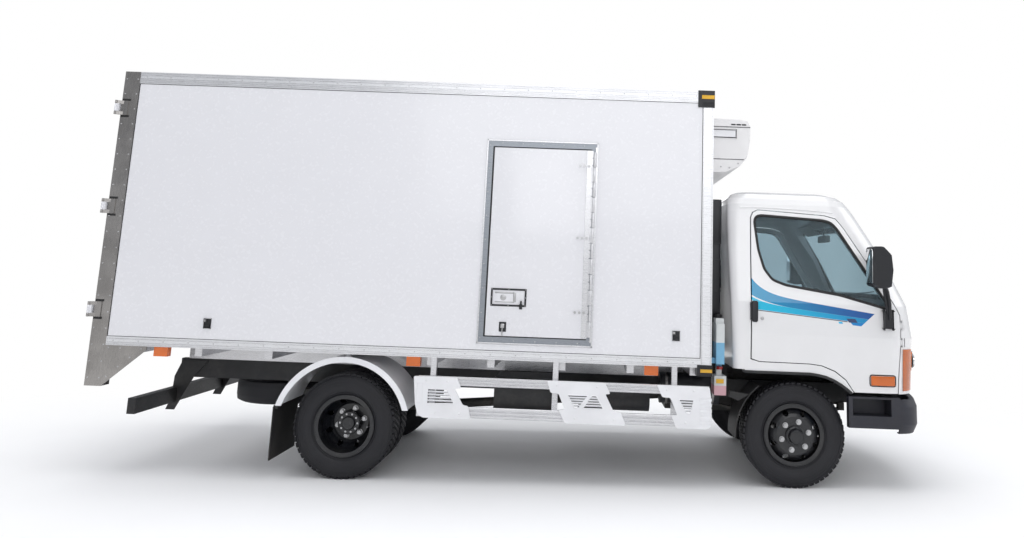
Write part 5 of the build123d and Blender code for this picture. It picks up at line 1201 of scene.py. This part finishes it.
for s in (-1, 1):
    belts.tube([(3040, s * 730, 1560), (3060, s * 700, 1200), (3080, s * 705, 860), (3100, s * 712, 700)], 20, 8, flat=0.12, about=(1, 0, 0))
    belts.box(3036, 3060, s * 712, s * 748, 1540, 1596, 6)
belts.place("seat_belts", "seal_rubber", "cab")

# Steering wheel with its boss and spokes
wheel = Shape()
axis = Vector((-math.cos(math.radians(52)), 0, math.sin(math.radians(52))))
hub = Vector((3830, 470, 1010))
across = Vector((0, 1, 0))
rise = axis.cross(across).normalized()
ring = [tuple(hub + across * 205 * math.cos(2 * math.pi * k / 72) + rise * 205 * math.sin(2 * math.pi * k / 72)) for k in range(72)]
wheel.tube(ring, 14, 14, closed=True, about=tuple(axis))
for angle in (90, 210, 330):
    a = math.radians(angle)
    out = across * math.cos(a) + rise * math.sin(a)
    wheel.tube([tuple(hub - axis * 12 + out * 20), tuple(hub - axis * 8 + out * 120), tuple(hub + out * 200)], 14, 10, flat=0.5, about=tuple(axis))
wheel.lathe([(-40, 0), (-40, 26), (-20, 52), (6, 56), (14, 44), (17, 0)], tuple(hub), tuple(axis), 36)
wheel.place("steering_wheel_rim", "black_plastic", "hand_wheel", smooth=50, stands_for=["steering_wheel"])
column = Shape()
column.tube([tuple(hub - axis * 42), tuple(hub - axis * 170)], 38, 20)
column.tube([tuple(hub - axis * 80 + across * 30), tuple(hub - axis * 72 + across * 170)], 7, 8)
column.tube([tuple(hub - axis * 80 - across * 30), tuple(hub - axis * 72 - across * 170)], 7, 8)
column.place("column_shroud", "trim_plastic", "cab")
dash = Shape()
for y0, y1 in ((300, 640),):
    dash.prism([(3990, 972), (4060, 1040), (4160, 1062), (4300, 1020), (4330, 1008), (4060, 980)], "y", y0, y1, 12, 3)
for y in (-620, -300, -60, 700):
    dash.box(3996, 4014, y - 60, y + 60, 880, 936, 5)
dash.box(4000, 4016, -130, 130, 780, 860, 5)
dash.tube([(3700, 0, 700), (3720, 0, 820), (3704, 0, 950)], 9, 10)
dash.lathe([(0, 0), (0, 14), (20, 24), (44, 22), (54, 0)], (3703, 0, 940), UP, 24)
dash.tube([(3560, 110, 700), (3600, 110, 800), (3640, 110, 880)], 11, 10)
dash.place("dash_details", "trim_plastic", "cab")
visors = Shape()
for y in (-430, 430):
    visors.prism([(3860, 1716), (3960, 1640), (3966, 1650), (3868, 1730)], "y", y - 190, y + 190, 5, 2)
visors.box(3900, 3950, -110, 110, 1560, 1620, 10, 3)
visors.tube([(3925, 0, 1620), (3930, 0, 1700)], 6, 8)
visors.place("sun_visors", "headliner", "cab")

# Intake: duct with a wider top, hose with folds, canister clamp
duct = Shape()
duct.box(2771, 2869, -721.5, -588.5, 706, 1486, 12, 3)
duct.box(2766, 2874, -727, -583, 1482, 1842, 16, 3)
for z in (860, 1100, 1340):
    duct.box(2769, 2871, -723.5, -586.5, z, z + 14, 3)
duct.place("intake_duct_skin", "black_plastic", "chassis")
hose = Shape()
hose_line = []
for k in range(14):
    z = 440 + k * 20
    hose_line += [(z, 44), (z + 4, 50), (z + 11, 50), (z + 15, 45)]
hose.lathe([(440, 0)] + hose_line + [(722, 50), (724, 0)], (2820, -655, 0), UP, 32)
hose.place("intake_hose", "seal_rubber", "chassis", smooth=50)
band = Shape()
for x in (2440, 2800):
    band.lathe([(0, 110), (0, 121.5), (18, 121.5), (18, 110)], (x, -655, 335), FORWARD, 48, closed=True)
band.lathe([(0, 40), (0, 53), (16, 53), (16, 40)], (2820, -655, 700), UP, 32, closed=True)
band.place("intake_clamps", "stainless", "chassis")
caps = Shape()
caps.lathe([(0, 0), (0, 26), (14, 30), (22, 30), (30, 24), (32, 0)], (2835, -830, 898), UP, 24)
caps.tube([(2835, -830, 926), (2830, -800, 936), (2812, -772, 920), (2800, -762, 880)], 5, 8)
caps.place("washer_cap", "seal_rubber", "chassis")
caps = Shape()
caps.lathe([(0, 0), (0, 24), (16, 25), (22, 20), (24, 0)], (2835, -900, 518), UP, 24)
caps.place("coolant_cap", "red_lens", "chassis")
sticker = Shape()
sticker.box(2800, 2858, -961.5, -959, 420, 452, 1, 1)
sticker.place("bottle_label", "label_yellow", "chassis")

# Front arches: lip on the cab, liners behind the wheels
for s, hand in SIDES:
    wall = Skin("cab_front", "cab_rear", f"cab_door_{hand}")
    lip = Shape()
    arch = [(2996, 530), (3010, 519), (3100, 518), (3250, 518), (3400, 518), (3500, 518), (3560, 511), (3620, 499), (3680, 476), (3735, 446), (3778, 416),
            (3812, 388)]
    path = []
    for x, z in arch:
        spot = wall.side(x, z + 14, s, 0)
        y = abs(spot[1]) if 900 < abs(spot[1]) < 1010 else 985
        path.append((x, s * (y + 2), z))
    lip.tube(path, 11, 10, flat=0.8, about=(0, 1, 0))
    lip.place(f"arch_lip_{hand}", "frame_black", "cab")
    liner = Shape()
    shell = [(radius, turn) for radius, turns in ((452, range(128, 184, 5)), (460, range(183, 127, -5))) for turn in turns]
    liner.prism([(3400 + r * math.cos(math.radians(t)), 58 + r * math.sin(math.radians(t))) for r, t in shell], "y", s * 690, s * 985)
    liner.prism([(2890, 330), (2965, 300), (3050, 352), (2900, 372)], "y", s * 960, s * 984, 3, 1)
    liner.place(f"front_liner_{hand}", "seal_rubber", "chassis")

# Grille: painted shade, a thin black sheet on the pocket floor behind the bars that stands in for the dark of the
# pocket
shade = Shape()
skin = Skin("cab_front")
for k in range(5):
    low = 573.5 + 27 * k
    rows = []
    for z in (low, low + 11):
        rows.append([Vector(skin.front(y, low + 5.5, 0.8)) for y in spread(-500, 500, 41)])
        for spot in rows[-1]:
            spot.z = z
    for i in range(40):
        quad = [rows[0][i], rows[0][i + 1], rows[1][i + 1], rows[1][i]]
        face = [shade.bm.verts.new(p) for p in quad]
        back = [shade.bm.verts.new(p - Vector((0.6, 0, 0))) for p in quad]
        shade.bm.faces.new(face)
        shade.bm.faces.new(list(reversed(back)))
        for m in range(4):
            n = (m + 1) % 4
            shade.bm.faces.new((face[m], back[m], back[n], face[n]))
# painted shade: a black sheet laid on the white pocket floor so the pocket reads dark
shade.place("grille_painted_shade", "seal_rubber", "cab")

# Roof edge strip, front marker lamp, wipers and lamp parts
strip = Shape()
for s, hand in SIDES:
    strip.tube([(x, s * 1048, 2654) for x in (-1900, 0, 2700)], 6, 8, flat=0.6, about=(0, 1, 0))
    strip.lathe([(0, 0), (0, 12), (14, 12), (18, 8), (18, 0)], (2690, s * 1036, 2640), UP, 16)
strip.place("roof_edge_strip", "seal_rubber", "chassis")
dome = Shape()
dome.lathe([(0, 0), (0, 38), (14, 37), (26, 30), (34, 18), (37, 0)], (3830, 0, 1914), UP, 32)
dome.place("roof_marker_dome", "clear_lens", "cab")
lamp = Shape()
wash = Skin("cab_lamps", "cab_front")
for s in (-1, 1):
    for y in (640, 790):
        x = wash.front(s * y, 630)[0]
        lamp.lathe([(-6, 0), (-6, 54), (2, 58), (5, 54), (-1, 50), (0, 0)], (x, s * y, 630), FORWARD, 32)
lamp.place("headlamp_bowls", "mirror_silver", "cab")
wipers = Shape()
pane = Skin("cab_glass", "cab_front")
for y0, y1, z1 in ((560, 80, 1130), (-80, -560, 1130)):
    a = Vector(pane.front(y0, 1100, 16))
    b = Vector(pane.front(y1, z1, 12))
    mid = (a + b) / 2
    wipers.tube([tuple(a), tuple(mid + Vector((6, 0, 8)))], 6, 8)
    wipers.tube([pane.front(y0 - 90 + (y1 - y0) * 0.85 * k / 8, 1110 + 30 * k / 8, 9) for k in range(9)], 6, 6, flat=0.7)
    wipers.lathe([(0, 0), (0, 18), (12, 15), (18, 0)], pane.front(y0, 1100, 0), FORWARD, 20)
wipers.place("wipers", "black_plastic", "cab")


# Camera from the photograph, floor, backdrop and soft studio light
lens_px, frame_w, frame_h = 760.0, 1024, 538
centre_px, centre_py = 581.45, 153.18
yaw, pitch, roll = math.radians(-0.631), math.radians(9.044), math.radians(2.138)
gaze = Vector((math.sin(yaw) * math.cos(pitch), math.cos(yaw) * math.cos(pitch), math.sin(pitch)))
level_right = gaze.cross(Vector((0, 0, 1))).normalized()
level_up = level_right.cross(gaze)
eye_right = math.cos(roll) * level_right + math.sin(roll) * level_up
eye_up = -math.sin(roll) * level_right + math.cos(roll) * level_up
to_row = TURN.to_3x3()
camera_data = bpy.data.cameras.new("photo_camera")
camera_data.sensor_width = 36
camera_data.lens = lens_px / frame_w * 36
camera_data.shift_x = (frame_w / 2 - centre_px) / frame_w
camera_data.shift_y = (centre_py - frame_h / 2) / frame_w
camera = bpy.data.objects.new("photo_camera", camera_data)
bpy.context.collection.objects.link(camera)
axes3 = Matrix((to_row @ eye_right, to_row @ eye_up, -(to_row @ gaze))).transposed()
camera.matrix_world = Matrix.Translation(AXLE + to_row @ Vector((1.782, -6.922, 1.197))) @ axes3.to_4x4()
camera_data.clip_end = 200
bpy.context.scene.camera = camera
bpy.context.scene.view_settings.view_transform = "Standard"


def stage_plate(name, corners, mat):
    mesh = bpy.data.meshes.new(name)
    mesh.from_pydata(corners, [], [(0, 1, 2, 3)])
    plate = bpy.data.objects.new(name, mesh)
    bpy.context.collection.objects.link(plate)
    mesh.materials.append(mat)
    return plate


floor_finish = bpy.data.materials.new("pale_floor")
floor_finish.use_nodes = True
floor_tree = floor_finish.node_tree
floor_spot = add_node(floor_tree, "ShaderNodeTexCoord").outputs["Object"]
floor_noise = add_node(floor_tree, "ShaderNodeTexNoise", {"Vector": floor_spot, "Scale": 1.5, "Detail": 4.0})
floor_tone = blend_colour(floor_tree, floor_noise.outputs[0], (0.90, 0.90, 0.91, 1), (0.93, 0.93, 0.94, 1))
floor_skin = floor_tree.nodes["Principled BSDF"]
floor_tree.links.new(floor_tone, floor_skin.inputs["Base Color"])
floor_skin.inputs["Roughness"].default_value = 0.9
floor_path = add_node(floor_tree, "ShaderNodeLightPath")
seen_floor = calc(floor_tree, "MAXIMUM", floor_path.outputs["Is Camera Ray"], floor_path.outputs["Is Glossy Ray"])
seen_floor = calc(floor_tree, "MAXIMUM", seen_floor, floor_path.outputs["Is Transmission Ray"])
floor_away = add_node(floor_tree, "ShaderNodeVectorMath", {0: floor_spot, 1: (1 / 4.6, 1 / 2.9, 0)}, operation="MULTIPLY")
floor_away = add_node(floor_tree, "ShaderNodeVectorMath", {0: floor_away.outputs[0]}, operation="LENGTH").outputs["Value"]
floor_fade = add_node(floor_tree, "ShaderNodeMapRange", {"Value": floor_away, "From Min": 0.75, "From Max": 1.5})
floor_white = calc(floor_tree, "MULTIPLY", seen_floor, floor_fade.outputs["Result"])
floor_glow = add_node(floor_tree, "ShaderNodeEmission", {"Color": (1, 1, 1, 1), "Strength": 1.0})
floor_mix = add_node(floor_tree, "ShaderNodeMixShader", {0: floor_white, 1: floor_skin.outputs[0], 2: floor_glow.outputs[0]})
floor_tree.links.new(floor_mix.outputs[0], floor_tree.nodes["Material Output"].inputs[0])
reach = 60
stage_plate("floor", [(-reach, -reach, 0), (reach, -reach, 0), (reach, reach, 0), (-reach, reach, 0)], floor_finish)

world = bpy.data.worlds.new("studio")
world.use_nodes = True
bpy.context.scene.world = world
air = world.node_tree
path = add_node(air, "ShaderNodeLightPath")
seen = calc(air, "MAXIMUM", path.outputs["Is Camera Ray"], path.outputs["Is Transmission Ray"])
lit = air.nodes["Background"]
lit.inputs["Color"].default_value = (0.92, 0.95, 1.0, 1)
lit.inputs["Strength"].default_value = 0.54
plain = add_node(air, "ShaderNodeBackground", {"Color": (1, 1, 1, 1), "Strength": 1.0})
pick = add_node(air, "ShaderNodeMixShader", {0: seen, 1: lit.outputs[0], 2: plain.outputs[0]})
air.links.new(pick.outputs[0], air.nodes["World Output"].inputs[0])


def soft_lamp(name, spot, aim, size, watts, tint=(1, 1, 1)):
    data = bpy.data.lights.new(name, "AREA")
    data.shape = "RECTANGLE"
    data.size, data.size_y = size
    data.energy = watts
    data.color = tint
    lamp = bpy.data.objects.new(name, data)
    lamp.location = spot
    lamp.rotation_mode = "QUATERNION"
    lamp.rotation_quaternion = (Vector(aim) - Vector(spot)).to_track_quat("-Z", "Y")
    bpy.context.collection.objects.link(lamp)


soft_lamp("sky_panel", (0, -1.0, 9.0), (0, 0, 1.2), (12, 8), 520)
soft_lamp("near_side", (1.5, -9.5, 5.0), (0, 0, 1.3), (9, 5), 240)
soft_lamp("far_side", (-1.5, 9.5, 5.0), (0, 0, 1.3), (9, 5), 230)
soft_lamp("front_side", (9.5, -1.0, 4.5), (2.5, 0, 1.3), (6, 5), 170)
soft_lamp("rear_side", (-9.5, -1.0, 4.5), (-2.5, 0, 1.3), (6, 5), 150)
